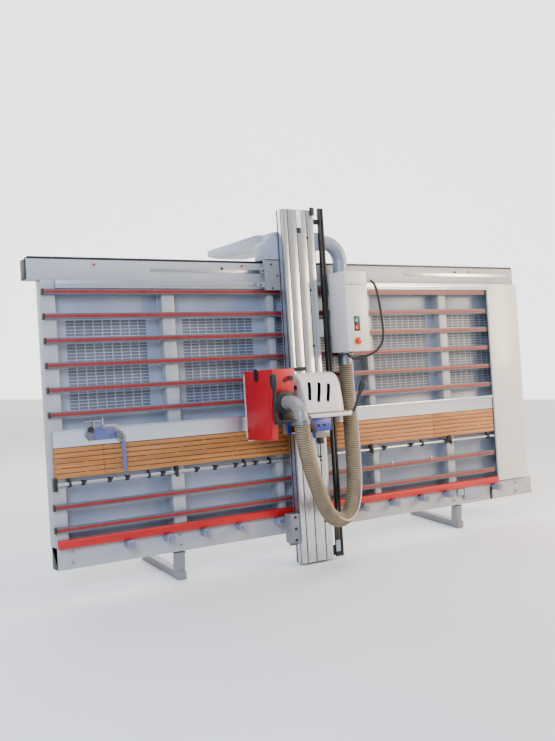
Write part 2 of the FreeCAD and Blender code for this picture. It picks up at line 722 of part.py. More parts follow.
def saw_motor():
    at = (S.motor_out, S.motor_up)
    motor = rod("x", S.motor_radius, (-515, -130), at)
    cap = rod("x", 42, (-130, -112), at)
    head = prism("x", [(222, 1030), (222, 1090), (300, 1090), (427, 1040), (427, 960), (330, 946)], (-575, -515))
    bearing = rod("x", 24, (-640, -575), (S.blade_out, S.swivel_up))
    bore = rod("x", 10 + S.running_gap, (-641, -560), (S.blade_out, S.swivel_up))
    node("saw_motor", group(fuse(motor, cap), cut(fuse(head, bearing), bore)))


def blade_and_arbor():
    at = (S.blade_out, S.swivel_up)
    half = S.blade_thick / 2
    plate = tube("x", S.blade_radius, 15.02, (S.blade_x - half, S.blade_x + half), at)
    gullets = []
    teeth = 24
    for tooth in range(teeth):
        angle = 2 * math.pi * tooth / teeth
        n = S.blade_out + S.blade_radius * math.cos(angle)
        v = S.swivel_up + S.blade_radius * math.sin(angle)
        gullets.append(rod("x", 7, (S.blade_x - 3, S.blade_x + 3), (n, v)))
    node("saw_blade", cut(plate, *gullets))
    shaft = rod("x", 10, (-790, -562), at)
    seat = rod("x", 15, (S.blade_x - half, -752), at)
    flange = rod("x", 30, (S.blade_x + half + 0.05, -752), at)
    clamp = rod("x", 26, (-784, S.blade_x - half - 0.05), at)
    node("arbor", fuse(shaft, seat, flange, clamp))


# ---------------------------------------------------------------- the length stop on the shelf

def stop_carriage():
    out = S.stop_back
    plate = block((-2055, -1830), (out, 60), (882, 976))
    hooks = block((-2040, -1845), (out, 54), (973, 984))
    knob = rod("n", 16, (54, 84), (-2045, 962))
    stops = [rod("n", 26, (60, 88), (x, S.stop_up)) for x in (-2083 + 30, -1836)]
    rest = rod("x", 6, (-2088, -1962), (74, 1017))
    stand = block((-2030, -2015), (60, 80), (960, 1024))
    pin = rod("v", 5, (970, 1040), (-1950, 68))
    post = block((-1962, -1938), (out, 76), (960, 985))
    base = block((-1840, -1776), (out, 60), (866, 900))
    pivot = rod("n", 6, (59, 78), (-1799, 880))
    node("stop_carriage", fuse(plate, hooks, knob, rest, stand, pin, post, base, pivot, *stops))
    swing = fuse(block((-1814, -1784), (62, 70), (645, 880)), rod("n", 15, (62, 70), (-1799, 880)))
    node("stop_flag", cut(swing, rod("n", 6 + S.running_gap, (61, 71), (-1799, 880))))


# ---------------------------------------------------------------- hose and cables

HOSE = [(189, 107.5, 1390), (189, 107.5, 1210), (186, 118, 940), (157, 165, 670), (108, 235, 440),
        (30, 312, 255), (-80, 385, 140), (-215, 448, 115), (-340, 506, 170), (-440, 563, 285),
        (-530, 621, 430), (-622, 681, 600), (-694, 731, 765), (-712, 741, 925)]
MOTOR_CABLE = [(-560, 560, 900), (-556, 560, 800), (-500, 562, 690), (-462, 563, 560), (-430, 561, 410),
               (-385, 556, 285), (-310, 543, 180), (-205, 508, 120), (-95, 455, 115), (0, 410, 170),
               (65, 370, 270), (105, 335, 400), (124, 312, 550), (130, 302, 700), (127, 298, 850),
               (120, 296, 1000), (115, 295, 1140), (117, 292, 1270), (122, 290, 1390)]
CONTROL_CABLE = [(277, 370, 2000), (317, 371, 1988), (345, 377, 1930), (361, 381, 1830), (375, 383, 1720),
                 (386, 384, 1610), (382, 381, 1505), (330, 368, 1425), (240, 352, 1385), (140, 336, 1364),
                 (75, 325, 1372), (51, 318.8, 1418)]


def cord_line(points):
    """Straight runs joined by arcs that are as large as the two runs at each point allow."""
    points = [Vector(x, -n, v) for x, n, v in points]
    edges = []
    radii = []
    start = points[0]
    for before, here, after in zip(points, points[1:], points[2:]):
        way_in = here - before
        way_out = after - here
        turn = way_in.getAngle(way_out)
        reach = 0.45 * min(way_in.Length, way_out.Length)
        way_in.normalize()
        way_out.normalize()
        radius = reach / math.tan(turn / 2)
        radii.append(radius)
        arc_start = here - way_in * reach
        arc_end = here + way_out * reach
        chord = way_out - way_in
        chord.normalize()
        middle = here + chord * (radius / math.cos(turn / 2) - radius)
        edges.append(Part.LineSegment(start, arc_start).toShape())
        edges.append(Part.Arc(arc_start, middle, arc_end).toShape())
        start = arc_end
    edges.append(Part.LineSegment(start, points[-1]).toShape())
    return Part.Wire(edges), radii


def cord(label, points, diameter):
    line, radii = cord_line(points)
    way = (Vector(*points[1]) - Vector(*points[0]))
    way = Vector(way.x, -way.y, way.z)
    way.normalize()
    x, n, v = points[0]
    circle = Part.Circle(Vector(x, -n, v), way, diameter.value / 2)
    solid = line.makePipeShell([Part.Wire(circle.toShape())], True, False)
    feature = doc.addObject("Part::Feature", "Cord")
    feature.Shape = solid
    section = math.pi * (diameter.value / 2) ** 2
    print(f"{label}: length {line.Length:.0f} mm, radii {[round(r) for r in radii]},",
          f"volume over section x length {solid.Volume / (section * line.Length):.4f}")
    node(label, feature)


frame_beams()
frame_posts()
cross_rails()
panels()
slats()
shelf()
support_shaft()
board_rollers()
feet()
frame_details()
top_guides()
saw_beam()
beam_carriages()
extraction_duct()
rigid_pipe()
control_box()
stop_rod()
balance()
carriage_plate()
swivel_bracket()
elbow()
clamp_lever()
blade_hood()
motor_cover()
saw_frame()
plunge_lever()
saw_motor()
blade_and_arbor()
stop_carriage()
cord("extraction_hose", HOSE, S.hose_size)
cord("motor_cable", MOTOR_CABLE, S.motor_cord)
cord("control_cable", CONTROL_CABLE, S.control_cord)

# The wall leans back about its front lower edge, and the origin is then set under the middle of the
# whole machine without its hose and cables, on the floor.
for whole, leaned in nodes.values():
    whole.Placement = Placement(Vector(), LEAN if leaned else Rotation())
doc.recompute()
FREE_CORDS = ("extraction_hose", "motor_cable", "control_cable")
box = FreeCAD.BoundBox()
for label, (whole, leaned) in nodes.items():
    if label not in FREE_CORDS:
        box.add(whole.Shape.optimalBoundingBox(False))
shift = Vector(-box.Center.x, -box.Center.y, -box.ZMin)
for whole, leaned in nodes.values():
    whole.Placement = Placement(shift, whole.Placement.Rotation)
doc.recompute()

for item in doc.Objects:
    if "Invalid" in item.State or "Error" in item.State:
        raise RuntimeError(f"{item.Label} ({item.Name}) failed: {item.State}")
for label, (whole, leaned) in nodes.items():
    if whole.Shape.isNull() or not whole.Shape.isValid() or not whole.Shape.Solids:
        raise RuntimeError(f"{label} has no valid solid")

os.makedirs("parts", exist_ok=True)
for label, (whole, leaned) in nodes.items():
    whole.Shape.exportStep(f"parts/{label}.step")
print(f"origin shift {shift.x:.3f} {shift.y:.3f} {shift.z:.3f}")
print(f"{len(nodes)} nodes, box {box.XLength:.1f} x {box.YLength:.1f} x {box.ZLength:.1f} mm")
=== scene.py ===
import json
import math

import bmesh
import bpy
from mathutils import Matrix, Vector


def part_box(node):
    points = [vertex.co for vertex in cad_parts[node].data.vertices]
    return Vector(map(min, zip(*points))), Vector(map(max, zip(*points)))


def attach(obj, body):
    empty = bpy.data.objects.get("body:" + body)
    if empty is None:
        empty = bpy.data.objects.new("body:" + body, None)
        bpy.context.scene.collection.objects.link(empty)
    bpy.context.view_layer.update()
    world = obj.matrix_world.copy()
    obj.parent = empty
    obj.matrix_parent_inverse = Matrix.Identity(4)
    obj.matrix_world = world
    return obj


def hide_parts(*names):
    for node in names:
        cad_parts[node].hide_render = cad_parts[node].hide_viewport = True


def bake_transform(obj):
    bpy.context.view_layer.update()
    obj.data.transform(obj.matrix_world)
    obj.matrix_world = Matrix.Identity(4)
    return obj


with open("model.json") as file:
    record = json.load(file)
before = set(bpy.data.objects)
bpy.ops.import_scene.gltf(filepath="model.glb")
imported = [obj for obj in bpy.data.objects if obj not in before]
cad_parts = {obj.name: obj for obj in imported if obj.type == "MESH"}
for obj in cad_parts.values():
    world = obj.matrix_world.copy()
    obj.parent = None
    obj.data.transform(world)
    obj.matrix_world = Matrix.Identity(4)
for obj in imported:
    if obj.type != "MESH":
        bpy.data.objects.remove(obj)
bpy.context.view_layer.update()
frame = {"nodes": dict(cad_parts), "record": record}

# ------------------------------------------------------------------ the wall's own coordinates
# x runs along the wall, n out of its front plane towards the operator, v up along it, in millimetres.

MM = 0.001
LEAN = math.radians(6.48)
FLOOR_DROP = 0.215
FOOT_FRONT = -0.020
SHIFT = Vector((0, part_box("feet")[0][1] - FOOT_FRONT, FLOOR_DROP))
WALL = Matrix.Translation(SHIFT) @ Matrix.Rotation(-LEAN, 4, "X") @ Matrix.Scale(MM, 4)


def at(x, n, v):
    """A point of the wall in the row's frame, in metres."""
    return WALL @ Vector((x, -n, v))


def local(x, n, v):
    """The same point in millimetres, before the wall leans and moves into the row's frame."""
    return Vector((x, -n, v))


# ------------------------------------------------------------------ materials


class Paint:
    """A node material that is put together step by step."""

    def __init__(self, name):
        self.material = bpy.data.materials.new(name)
        self.material.use_nodes = True
        self.tree = self.material.node_tree
        self.shader = self.tree.nodes["Principled BSDF"]
        coordinates = self.add("ShaderNodeTexCoord")
        self.place = coordinates.outputs["Object"]

    def add(self, kind, **inputs):
        node = self.tree.nodes.new(kind)
        for name, value in inputs.items():
            socket = node.inputs[name.replace("_", " ")]
            if isinstance(value, bpy.types.NodeSocket):
                self.tree.links.new(value, socket)
            else:
                socket.default_value = value
        return node

    def link(self, output, name):
        self.tree.links.new(output, self.shader.inputs[name])

    def fixed(self, **values):
        for name, value in values.items():
            self.shader.inputs[name.replace("_", " ")].default_value = value

    def scaled(self, scale, turn=0.0):
        mapping = self.add("ShaderNodeMapping", Vector=self.place, Scale=scale)
        mapping.inputs["Rotation"].default_value = (turn, 0, 0)
        return mapping.outputs["Vector"]

    def noise(self, scale, detail=4.0, vector=None, rough=0.5):
        node = self.add("ShaderNodeTexNoise", Vector=vector or self.place, Scale=scale, Detail=detail,
                        Roughness=rough)
        return node.outputs["Fac"]

    def ramp(self, factor, stops):
        node = self.add("ShaderNodeValToRGB", Fac=factor)
        elements = node.color_ramp.elements
        while len(elements) < len(stops):
            elements.new(0.5)
        for element, (position, colour) in zip(elements, stops):
            element.position = position
            element.color = (*colour, 1)
        return node.outputs["Color"]

    def remap(self, factor, low, high, start=0.0, end=1.0):
        node = self.add("ShaderNodeMapRange", Value=factor)
        node.inputs["From Min"].default_value = start
        node.inputs["From Max"].default_value = end
        node.inputs["To Min"].default_value = low
        node.inputs["To Max"].default_value = high
        return node.outputs["Result"]

    def mix(self, factor, first, second):
        node = self.tree.nodes.new("ShaderNodeMix")
        node.data_type = "RGBA"
        for socket, value in ((node.inputs[0], factor), (node.inputs[6], first), (node.inputs[7], second)):
            if isinstance(value, bpy.types.NodeSocket):
                self.tree.links.new(value, socket)
            elif isinstance(value, tuple):
                socket.default_value = (*value, 1)
            else:
                socket.default_value = value
        return node.outputs[2]

    def bump(self, height, strength, distance, normal=None):
        """Raises the surface by height; distance is in metres, as the frame is."""
        node = self.add("ShaderNodeBump", Height=height, Strength=strength, Distance=distance)
        if normal is not None:
            self.tree.links.new(normal, node.inputs["Normal"])
        self.link(node.outputs["Normal"], "Normal")

    def worn_edges(self, radius=0.0025):
        """A mask that is 1 along rounded edges, and the rounded normal."""
        bevel = self.tree.nodes.new("ShaderNodeBevel")
        bevel.samples = 4
        bevel.inputs["Radius"].default_value = radius
        geometry = self.tree.nodes.new("ShaderNodeNewGeometry")
        dot = self.tree.nodes.new("ShaderNodeVectorMath")
        dot.operation = "DOT_PRODUCT"
        self.tree.links.new(bevel.outputs["Normal"], dot.inputs[0])
        self.tree.links.new(geometry.outputs["Normal"], dot.inputs[1])
        return self.remap(dot.outputs["Value"], 1.0, 0.0, 0.80, 0.985), bevel.outputs["Normal"]


def tint(colour, amount):
    return tuple(min(1.0, channel * amount) for channel in colour)


def painted(name, colour, roughness, coat=0.0, dirt=0.10, grain=900.0, wear=None):
    """Powder-coated or lacquered sheet: fine orange peel, faint dust, and lighter rubbed edges."""
    paint = Paint(name)
    clouds = paint.noise(3.2, 6.0)
    base = paint.ramp(clouds, [(0.3, tint(colour, 1 - dirt)), (0.7, tint(colour, 1 + dirt / 3))])
    mask, normal = paint.worn_edges()
    scratched = paint.noise(60.0, 3.0)
    edge = paint.add("ShaderNodeMath")
    edge.operation = "MULTIPLY"
    paint.tree.links.new(mask, edge.inputs[0])
    paint.tree.links.new(paint.remap(scratched, 0.0, 0.55, 0.42, 0.7), edge.inputs[1])
    paint.link(paint.mix(edge.outputs[0], base, wear or tint(colour, 1.35)), "Base Color")
    paint.link(paint.remap(paint.noise(14.0, 5.0), roughness - 0.08, roughness + 0.10), "Roughness")
    paint.fixed(Coat_Weight=coat, Coat_Roughness=0.12)
    paint.bump(paint.noise(grain, 2.0), 0.10, 0.0004, normal)
    return paint.material


def metal(name, colour, roughness, along):
    """Anodised metal with fine lines along x or z, or cast and turned metal with an even grain."""
    paint = Paint(name)
    stretch = {"x": (2, 420, 420), "z": (420, 420, 2), "round": (160, 160, 160)}[along]
    lines = paint.noise(1.0, 6.0, paint.scaled(stretch, LEAN if along == "z" else 0.0))
    clouds = paint.noise(2.0, 5.0)
    base = paint.ramp(lines, [(0.25, tint(colour, 0.86)), (0.75, tint(colour, 1.06))])
    shade = paint.mix(paint.remap(clouds, 0.0, 0.35, 0.35, 0.75), base, tint(colour, 0.80))
    mask, normal = paint.worn_edges(0.0015)
    paint.link(paint.mix(paint.remap(mask, 0.0, 0.5), shade, tint(colour, 1.25)), "Base Color")
    paint.link(paint.remap(lines, roughness - 0.08, roughness + 0.14), "Roughness")
    paint.fixed(Metallic=0.9)
    paint.bump(lines, 0.25, 0.0003, normal)
    return paint.material


def plastic(name, colour, roughness):
    """Moulded plastic or rubber: a fine grain, slight bloom and scuffs."""
    paint = Paint(name)
    scuffs = paint.noise(22.0, 6.0)
    bloom = tuple(min(1.0, channel * 1.15 + 0.004) for channel in colour)
    rubbed = tuple(min(1.0, channel * 1.2 + 0.02) for channel in colour)
    base = paint.ramp(scuffs, [(0.35, tint(colour, 0.85)), (0.75, bloom)])
    mask, normal = paint.worn_edges(0.0015)
    paint.link(paint.mix(paint.remap(mask, 0.0, 0.5), base, rubbed), "Base Color")
    paint.link(paint.remap(scuffs, roughness - 0.08, roughness + 0.12), "Roughness")
    paint.bump(paint.noise(700.0, 2.0), 0.18, 0.0003, normal)
    return paint.material


def timber(name, shade_scale=1.0):
    """Orange-brown plywood facing with long grain and darker pores; a second argument below 1 darkens it, as
    painted shade.
    """
    paint = Paint(name)
    grain = paint.noise(1.0, 8.0, paint.scaled((1.6, 55, 55)), 0.62)
    pores = paint.noise(1.0, 4.0, paint.scaled((14, 620, 620)), 0.6)
    boards = paint.noise(1.0, 2.0, paint.scaled((0.9, 6, 24)))
    shades = [(0.28, (0.22, 0.068, 0.012)), (0.5, (0.42, 0.150, 0.026)), (0.72, (0.58, 0.245, 0.055))]
    base = paint.ramp(grain, [(position, tint(colour, shade_scale)) for position, colour in shades])
    toned = paint.mix(paint.remap(boards, 0.0, 0.55, 0.35, 0.7), base, tint((0.36, 0.14, 0.035), shade_scale))
    marked = paint.mix(paint.remap(pores, 0.0, 0.6, 0.56, 0.75), toned, (0.15, 0.055, 0.015))
    mask, normal = paint.worn_edges(0.002)
    paint.link(paint.mix(paint.remap(mask, 0.0, 0.4), marked, (0.78, 0.50, 0.22)), "Base Color")
    paint.link(paint.remap(pores, 0.42, 0.62), "Roughness")
    paint.bump(pores, 0.25, 0.0006, normal)
    return paint.material


def hose_skin(name, colour):
    """A dusty plastic hose wall, darker in places, with a little light passing through it."""
    paint = Paint(name)
    dust = paint.noise(9.0, 6.0)
    base = paint.ramp(dust, [(0.3, tint(colour, 0.72)), (0.7, tint(colour, 1.12))])
    paint.link(base, "Base Color")
    paint.link(paint.remap(dust, 0.34, 0.55), "Roughness")
    paint.bump(paint.noise(500.0, 3.0), 0.15, 0.0005)
    paint.fixed(Subsurface_Weight=0.05)
    return paint.material


def clear_sheet(name):
    """Scratched clear plastic."""
    paint = Paint(name)
    scratches = paint.noise(1.0, 6.0, paint.scaled((30, 30, 400)))
    paint.link(paint.ramp(scratches, [(0.3, (0.62, 0.66, 0.62)), (0.7, (0.80, 0.84, 0.80))]), "Base Color")
    paint.link(paint.remap(scratches, 0.08, 0.30), "Roughness")
    paint.fixed(Alpha=0.45, IOR=1.49)
    paint.bump(scratches, 0.08, 0.0003)
    return paint.material


MATERIALS = {
    "frame_paint": painted("frame_paint", (0.38, 0.38, 0.38), 0.40),
    "panel_paint": painted("panel_paint", (0.33, 0.37, 0.45), 0.38, dirt=0.20),
    "slat_grey": painted("slat_grey", (0.10, 0.10, 0.11), 0.42),
    "strip_red": plastic("strip_red", (0.24, 0.006, 0.005), 0.45),
    "ledge_red": painted("ledge_red", (0.46, 0.003, 0.004), 0.42, wear=(0.62, 0.06, 0.05)),
    "aluminium": metal("aluminium", (0.60, 0.62, 0.66), 0.30, "x"),
    "beam_aluminium": metal("beam_aluminium", (0.60, 0.61, 0.63), 0.28, "z"),
    "wood": timber("wood"),
    "black_plastic": plastic("black_plastic", (0.004, 0.004, 0.0043), 0.5),
    "steel": metal("steel", (0.46, 0.46, 0.47), 0.28, "round"),
    "zinc": metal("zinc", (0.30, 0.31, 0.33), 0.38, "round"),
    "panel_white": painted("panel_white", (0.66, 0.63, 0.58), 0.36, coat=0.15, dirt=0.07),
    "duct_grey": painted("duct_grey", (0.30, 0.33, 0.38), 0.44),
    "pipe_grey": painted("pipe_grey", (0.22, 0.25, 0.30), 0.34, coat=0.15),
    "box_beige": painted("box_beige", (0.68, 0.65, 0.58), 0.38, coat=0.1, dirt=0.07),
    "button_green": plastic("button_green", (0.0, 0.26, 0.19), 0.25),
    "button_red": plastic("button_red", (0.62, 0.012, 0.010), 0.25),
    "button_yellow": plastic("button_yellow", (0.80, 0.55, 0.02), 0.35),
    "cable_black": plastic("cable_black", (0.006, 0.006, 0.0065), 0.46),
    "cable_grey": plastic("cable_grey", (0.42, 0.40, 0.37), 0.45),
    "hose_beige": hose_skin("hose_beige", (0.30, 0.215, 0.115)),
    # A dark brown of the hose's own colour: painted shade in the corrugation's hollows.
    "hose_hollow_shade": plastic("hose_hollow_shade", (0.022, 0.013, 0.007), 0.45),
    "hood_red": painted("hood_red", (0.50, 0.0003, 0.008), 0.46, dirt=0.08, wear=(0.70, 0.05, 0.05)),
    "carriage_blue": painted("carriage_blue", (0.010, 0.038, 0.38), 0.38),
    "elbow_grey": painted("elbow_grey", (0.25, 0.22, 0.20), 0.28, coat=0.2),
    "cast_grey": painted("cast_grey", (0.10, 0.10, 0.11), 0.55, grain=300.0),
    "black_metal": painted("black_metal", (0.005, 0.005, 0.0053), 0.5, wear=(0.06, 0.06, 0.06)),
    "white_label": plastic("white_label", (0.80, 0.80, 0.78), 0.40),
    "clear_guard": clear_sheet("clear_guard"),
    # Print for the rule's ticks, and painted shade in the saw beam's grooves.
    "ink_and_groove_shade": plastic("ink_and_groove_shade", (0.03, 0.03, 0.035), 0.5),
    # The grey back seen through the panels' slots, darkened by painted shade.
    "slot_shade_backing": painted("slot_shade_backing", (0.150, 0.160, 0.185), 0.6, dirt=0.25),
    # The facing's wood darkened to a tenth: painted shade in its grooves.
    "groove_shade_brown": timber("groove_shade_brown", 0.10),
    "roller_plastic": plastic("roller_plastic", (0.20, 0.215, 0.30), 0.30),
    "stop_blue": painted("stop_blue", (0.085, 0.105, 0.25), 0.40),
    "foot_grey": painted("foot_grey", (0.20, 0.20, 0.205), 0.46),
    "seam_red": painted("seam_red", (0.22, 0.002, 0.006), 0.4),
}
# The record's slot for each look that the record doesn't name.
NODE_SLOTS = {row["node"]: row["material_slot"] for row in frame["record"]["subparts"]}
NODE_LOOKS = {"beam_profile": "beam_aluminium", "feet": "foot_grey", "beam_carriages": "foot_grey"}
for name, thing in frame["nodes"].items():
    look = MATERIALS[NODE_LOOKS.get(name, NODE_SLOTS[name])]
    for slot in thing.material_slots:
        slot.material = look
    if not thing.material_slots:
        thing.data.materials.append(look)

BODY_OF = {}
for body, members in frame["record"]["behaviour"]["bodies"].items():
    for member in members:
        BODY_OF[member] = body

# ------------------------------------------------------------------ shapes, drawn in wall millimetres

ROUNDED_ANGLE = math.radians(25)
BROKEN_ANGLE = math.radians(40)
SMOOTH_ANGLE = math.radians(35)
TUBE_ANGLE = math.radians(50)
OUT = Vector((0, -1, 0))
UP = Vector((0, 0, 1))


class Shape:
    """A mesh made of several closed forms, drawn in the wall's millimetres."""

    def __init__(self):
        self.mesh = bmesh.new()

    def box(self, x, n, v, bevel=1.5, segments=2):
        made = bmesh.ops.create_cube(self.mesh, size=1)["verts"]
        size = Vector((x[1] - x[0], n[1] - n[0], v[1] - v[0]))
        middle = local((x[0] + x[1]) / 2, (n[0] + n[1]) / 2, (v[0] + v[1]) / 2)
        for vert in made:
            vert.co = Vector(a * b for a, b in zip(vert.co, size)) + middle
        self.round_edges(made, min(bevel, min(size) * 0.35), segments)

    def round_edges(self, verts, width, segments=2):
        if width <= 0:
            return
        edges = {edge for vert in verts for edge in vert.link_edges}
        sharp = [edge for edge in edges
                 if len(edge.link_faces) == 2 and edge.calc_face_angle(0) > ROUNDED_ANGLE]
        bmesh.ops.bevel(self.mesh, geom=sharp, offset=width, segments=segments, affect="EDGES", profile=0.5)

    def prism(self, axis, outline, span, bevel=1.5):
        """outline holds the two other coordinates, in the order x, n, v."""
        make = {"x": lambda a, b, c: local(c, a, b), "n": lambda a, b, c: local(a, c, b),
                "v": lambda a, b, c: local(a, b, c)}[axis]
        low = [self.mesh.verts.new(make(a, b, span[0])) for a, b in outline]
        high = [self.mesh.verts.new(make(a, b, span[1])) for a, b in outline]
        self.mesh.faces.new(low)
        self.mesh.faces.new(list(reversed(high)))
        count = len(outline)
        for i in range(count):
            j = (i + 1) % count
            self.mesh.faces.new((low[j], low[i], high[i], high[j]))
        bmesh.ops.recalc_face_normals(self.mesh, faces=list({f for v in low + high for f in v.link_faces}))
        self.round_edges(low + high, bevel)

    def lathe(self, start, way, profile, segments=32):
        """Turns (radius, distance) points round the line from start along way; closed at radius 0."""
        way = way.normalized()
        side = way.orthogonal().normalized()
        other = way.cross(side)
        rings = []
        for radius, distance in profile:
            centre = start + way * distance
            if radius == 0:
                rings.append([self.mesh.verts.new(centre)])
                continue
            rings.append(self.ring(centre, side, other, radius, segments))
        pairs = list(zip(rings, rings[1:]))
        if len(rings[0]) > 1 and len(rings[-1]) > 1:
            pairs.append((rings[-1], rings[0]))
        faces = []
        for a, b in pairs:
            for step in range(segments):
                after = (step + 1) % segments
                corners = [a[step % len(a)], a[after % len(a)], b[after % len(b)], b[step % len(b)]]
                unique = list(dict.fromkeys(corners))
                if len(unique) > 2:
                    faces.append(self.mesh.faces.new(unique))
        bmesh.ops.recalc_face_normals(self.mesh, faces=faces)

    def ring(self, centre, side, other, radius, count):
        """Vertices round centre, in the plane of side and other."""
        made = []
        for step in range(count):
            angle = 2 * math.pi * step / count
            way = side * math.cos(angle) + other * math.sin(angle)
            made.append(self.mesh.verts.new(centre + way * radius))
        return made

    def rod(self, axis, radius, span, across, edge=1.0):
        """A round bar along axis over span; across holds its two other coordinates, in the order x, n, v."""
        ways = {"x": Vector((1, 0, 0)), "n": OUT, "v": UP}
        starts = {"x": (span[0], *across), "n": (across[0], span[0], across[1]), "v": (*across, span[0])}
        length = span[1] - span[0]
        edge = min(edge, radius * 0.4, length * 0.4)
        profile = [(0, 0), (radius - edge, 0), (radius, edge),
                   (radius, length - edge), (radius - edge, length), (0, length)]
        self.lathe(local(*starts[axis]), ways[axis], profile)

    def sweep(self, points, radius, sides):
        """A closed tube along points, as Vectors or as (x, n, v); radius is a number or one per point."""
        line = [p if isinstance(p, Vector) else local(*p) for p in points]
        radii = radius if isinstance(radius, (list, tuple)) else [radius] * len(line)
        rings = []
        side = None
        for i, here in enumerate(line):
            before = line[max(i - 1, 0)]
            after = line[min(i + 1, len(line) - 1)]
            way = (after - before).normalized()
            side = way.orthogonal() if side is None else side - way * side.dot(way)
            side = side.normalized()
            other = way.cross(side)
            rings.append(self.ring(here, side, other, radii[i], sides))
        for a, b in zip(rings, rings[1:]):
            for step in range(sides):
                after = (step + 1) % sides
                self.mesh.faces.new((a[step], a[after], b[after], b[step]))
        self.mesh.faces.new(list(reversed(rings[0])))
        self.mesh.faces.new(rings[-1])

    def done(self, name, look, body, replaces=(), smooth=True):
        """Makes the piece: its mesh in the row's frame, its material, and the body that it rides."""
        data = bpy.data.meshes.new(name)
        self.mesh.transform(WALL)
        bmesh.ops.recalc_face_normals(self.mesh, faces=self.mesh.faces)
        self.mesh.to_mesh(data)
        self.mesh.free()
        thing = bpy.data.objects.new(name, data)
        bpy.context.scene.collection.objects.link(thing)
        data.materials.append(MATERIALS[look])
        if smooth:
            data.shade_smooth()
            data.set_sharp_from_angle(angle=SMOOTH_ANGLE)
        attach(thing, body)
        if replaces:
            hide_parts(*replaces)


def softened(node, width):
    """The CAD node's own shape with broken edges, riding on the same body."""
    source = frame["nodes"][node]
    data = source.data.copy()
    thing = bpy.data.objects.new(node + "_finished", data)
    bpy.context.scene.collection.objects.link(thing)
    mesh = bmesh.new()
    mesh.from_mesh(data)
    bmesh.ops.remove_doubles(mesh, verts=mesh.verts, dist=0.02 * MM)
    bmesh.ops.dissolve_limit(mesh, angle_limit=math.radians(1), verts=mesh.verts, edges=mesh.edges)
    mesh.to_mesh(data)
    mesh.free()
    edge = thing.modifiers.new("edges", "BEVEL")
    edge.width = width * MM
    edge.segments = 2
    edge.limit_method = "ANGLE"
    edge.angle_limit = BROKEN_ANGLE
    edge.use_clamp_overlap = True
    bpy.context.view_layer.update()
    final = bpy.data.meshes.new_from_object(thing.evaluated_get(bpy.context.evaluated_depsgraph_get()))
    thing.modifiers.clear()
    thing.data = final
    final.shade_smooth()
    final.set_sharp_from_angle(angle=SMOOTH_ANGLE)
    final.materials.clear()
    final.materials.append(MATERIALS[NODE_LOOKS.get(node, NODE_SLOTS[node])])
    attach(thing, BODY_OF[node])
    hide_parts(node)


# ------------------------------------------------------------------ the wall's finished pieces

BAYS = [(-2220.5, -1403.5), (-1300.5, -476.5), (-415.5, 505.5), (566.5, 1356.5), (1444.5, 2246.5)]
SLAT_LEVELS = [1937.2 - 171.6 * i for i in range(6)] + [437.9, 281.1]
SLAT_ENDS = (-2322, 1914)
SLAT_FRONT = 38
STRIP_HALF = 10.5
ROLLERS = (-1787, -1477, -1173, -866, -517, 332, 669, 999, 1296, 1902)
ROLLER_UP = 118
ROLLER_BACK = 6
ROLLER_BORE = 8.05
RULES = ((-1484, -506), (975, 2241))
RULE_UP = 2090
TICK_STEP = 20
HOLED_LOW = 1079.2
HOLED_HIGH = 1765.6
HOLE_PITCH = (70.0, 24.0)
HOLE_SIZE = (61.0, 17.0)
PLAIN_MARGIN = (150, 16)
PANEL_FRONT = -91
PANEL_THICK = 2


def hole_edges(low, high, pitch, size, margin):
    """The edges of a centred row of holes, with the sheet's own two edges first and last."""
    count = int((high - low - margin) // pitch)
    start = (low + high - count * pitch) / 2 + (pitch - size) / 2
    edges = [low]
    for i in range(count):
        edges += [start + i * pitch, start + i * pitch + size]
    return edges + [high]


def holed_panels():
    """Slotted sheets between the uprights, each with a dark grey sheet behind its holes that paints the
    shaded back seen through them.
    """
    sheet = Shape()
    vs = hole_edges(HOLED_LOW, HOLED_HIGH, HOLE_PITCH[1], HOLE_SIZE[1], PLAIN_MARGIN[1])
    for left, right in BAYS:
        xs = hole_edges(left, right, HOLE_PITCH[0], HOLE_SIZE[0], PLAIN_MARGIN[0])
        grid = [[sheet.mesh.verts.new(local(x, PANEL_FRONT, v)) for x in xs] for v in vs]
        for j in range(len(vs) - 1):
            for i in range(len(xs) - 1):
                if not (i % 2 and j % 2):
                    sheet.mesh.faces.new((grid[j][i], grid[j][i + 1], grid[j + 1][i + 1], grid[j + 1][i]))
    bmesh.ops.recalc_face_normals(sheet.mesh, faces=sheet.mesh.faces)
    bmesh.ops.solidify(sheet.mesh, geom=sheet.mesh.faces[:], thickness=PANEL_THICK)
    offset = -PANEL_FRONT - min(vert.co.y for vert in sheet.mesh.verts)
    bmesh.ops.translate(sheet.mesh, verts=sheet.mesh.verts, vec=(0, offset, 0))
    sheet.done("holed_panels", "panel_paint", "frame", ["perforated_panels"], smooth=False)
    # A dark sheet behind each bay's slots: the grey back there, with painted shade.
    slot_shade_backing = Shape()
    for left, right in BAYS:
        slot_shade_backing.box((left + 1, right - 1), (-98, -96), (HOLED_LOW + 1, HOLED_HIGH - 1), 0.3, 1)
    slot_shade_backing.done("panel_slot_shade", "slot_shade_backing", "frame")


def slat_trim():
    """The slats' end caps, their red strips and two clips on the lower slats."""
    left, right = SLAT_ENDS
    caps = Shape()
    strips = Shape()
    for level in SLAT_LEVELS:
        caps.box((left - 3, left + 9), (0, 40), (level - 21.5, level + 21.5), 2)
        caps.box((right - 6, right + 3), (0, 39), (level - 21, level + 21), 2)
        strips.box((left + 9, right - 6), (26, SLAT_FRONT), (level - STRIP_HALF, level + STRIP_HALF), 3)
    caps.done("slat_end_caps", "black_plastic", "frame")
    strips.done("slat_wear_strips", "strip_red", "frame", ["slat_strips"])
    clips = Shape()
    for x in (677, 1124):
        clips.box((x - 14, x + 14), (30, 42), (446, 474), 2)
    clips.done("slat_clips", "zinc", "frame")


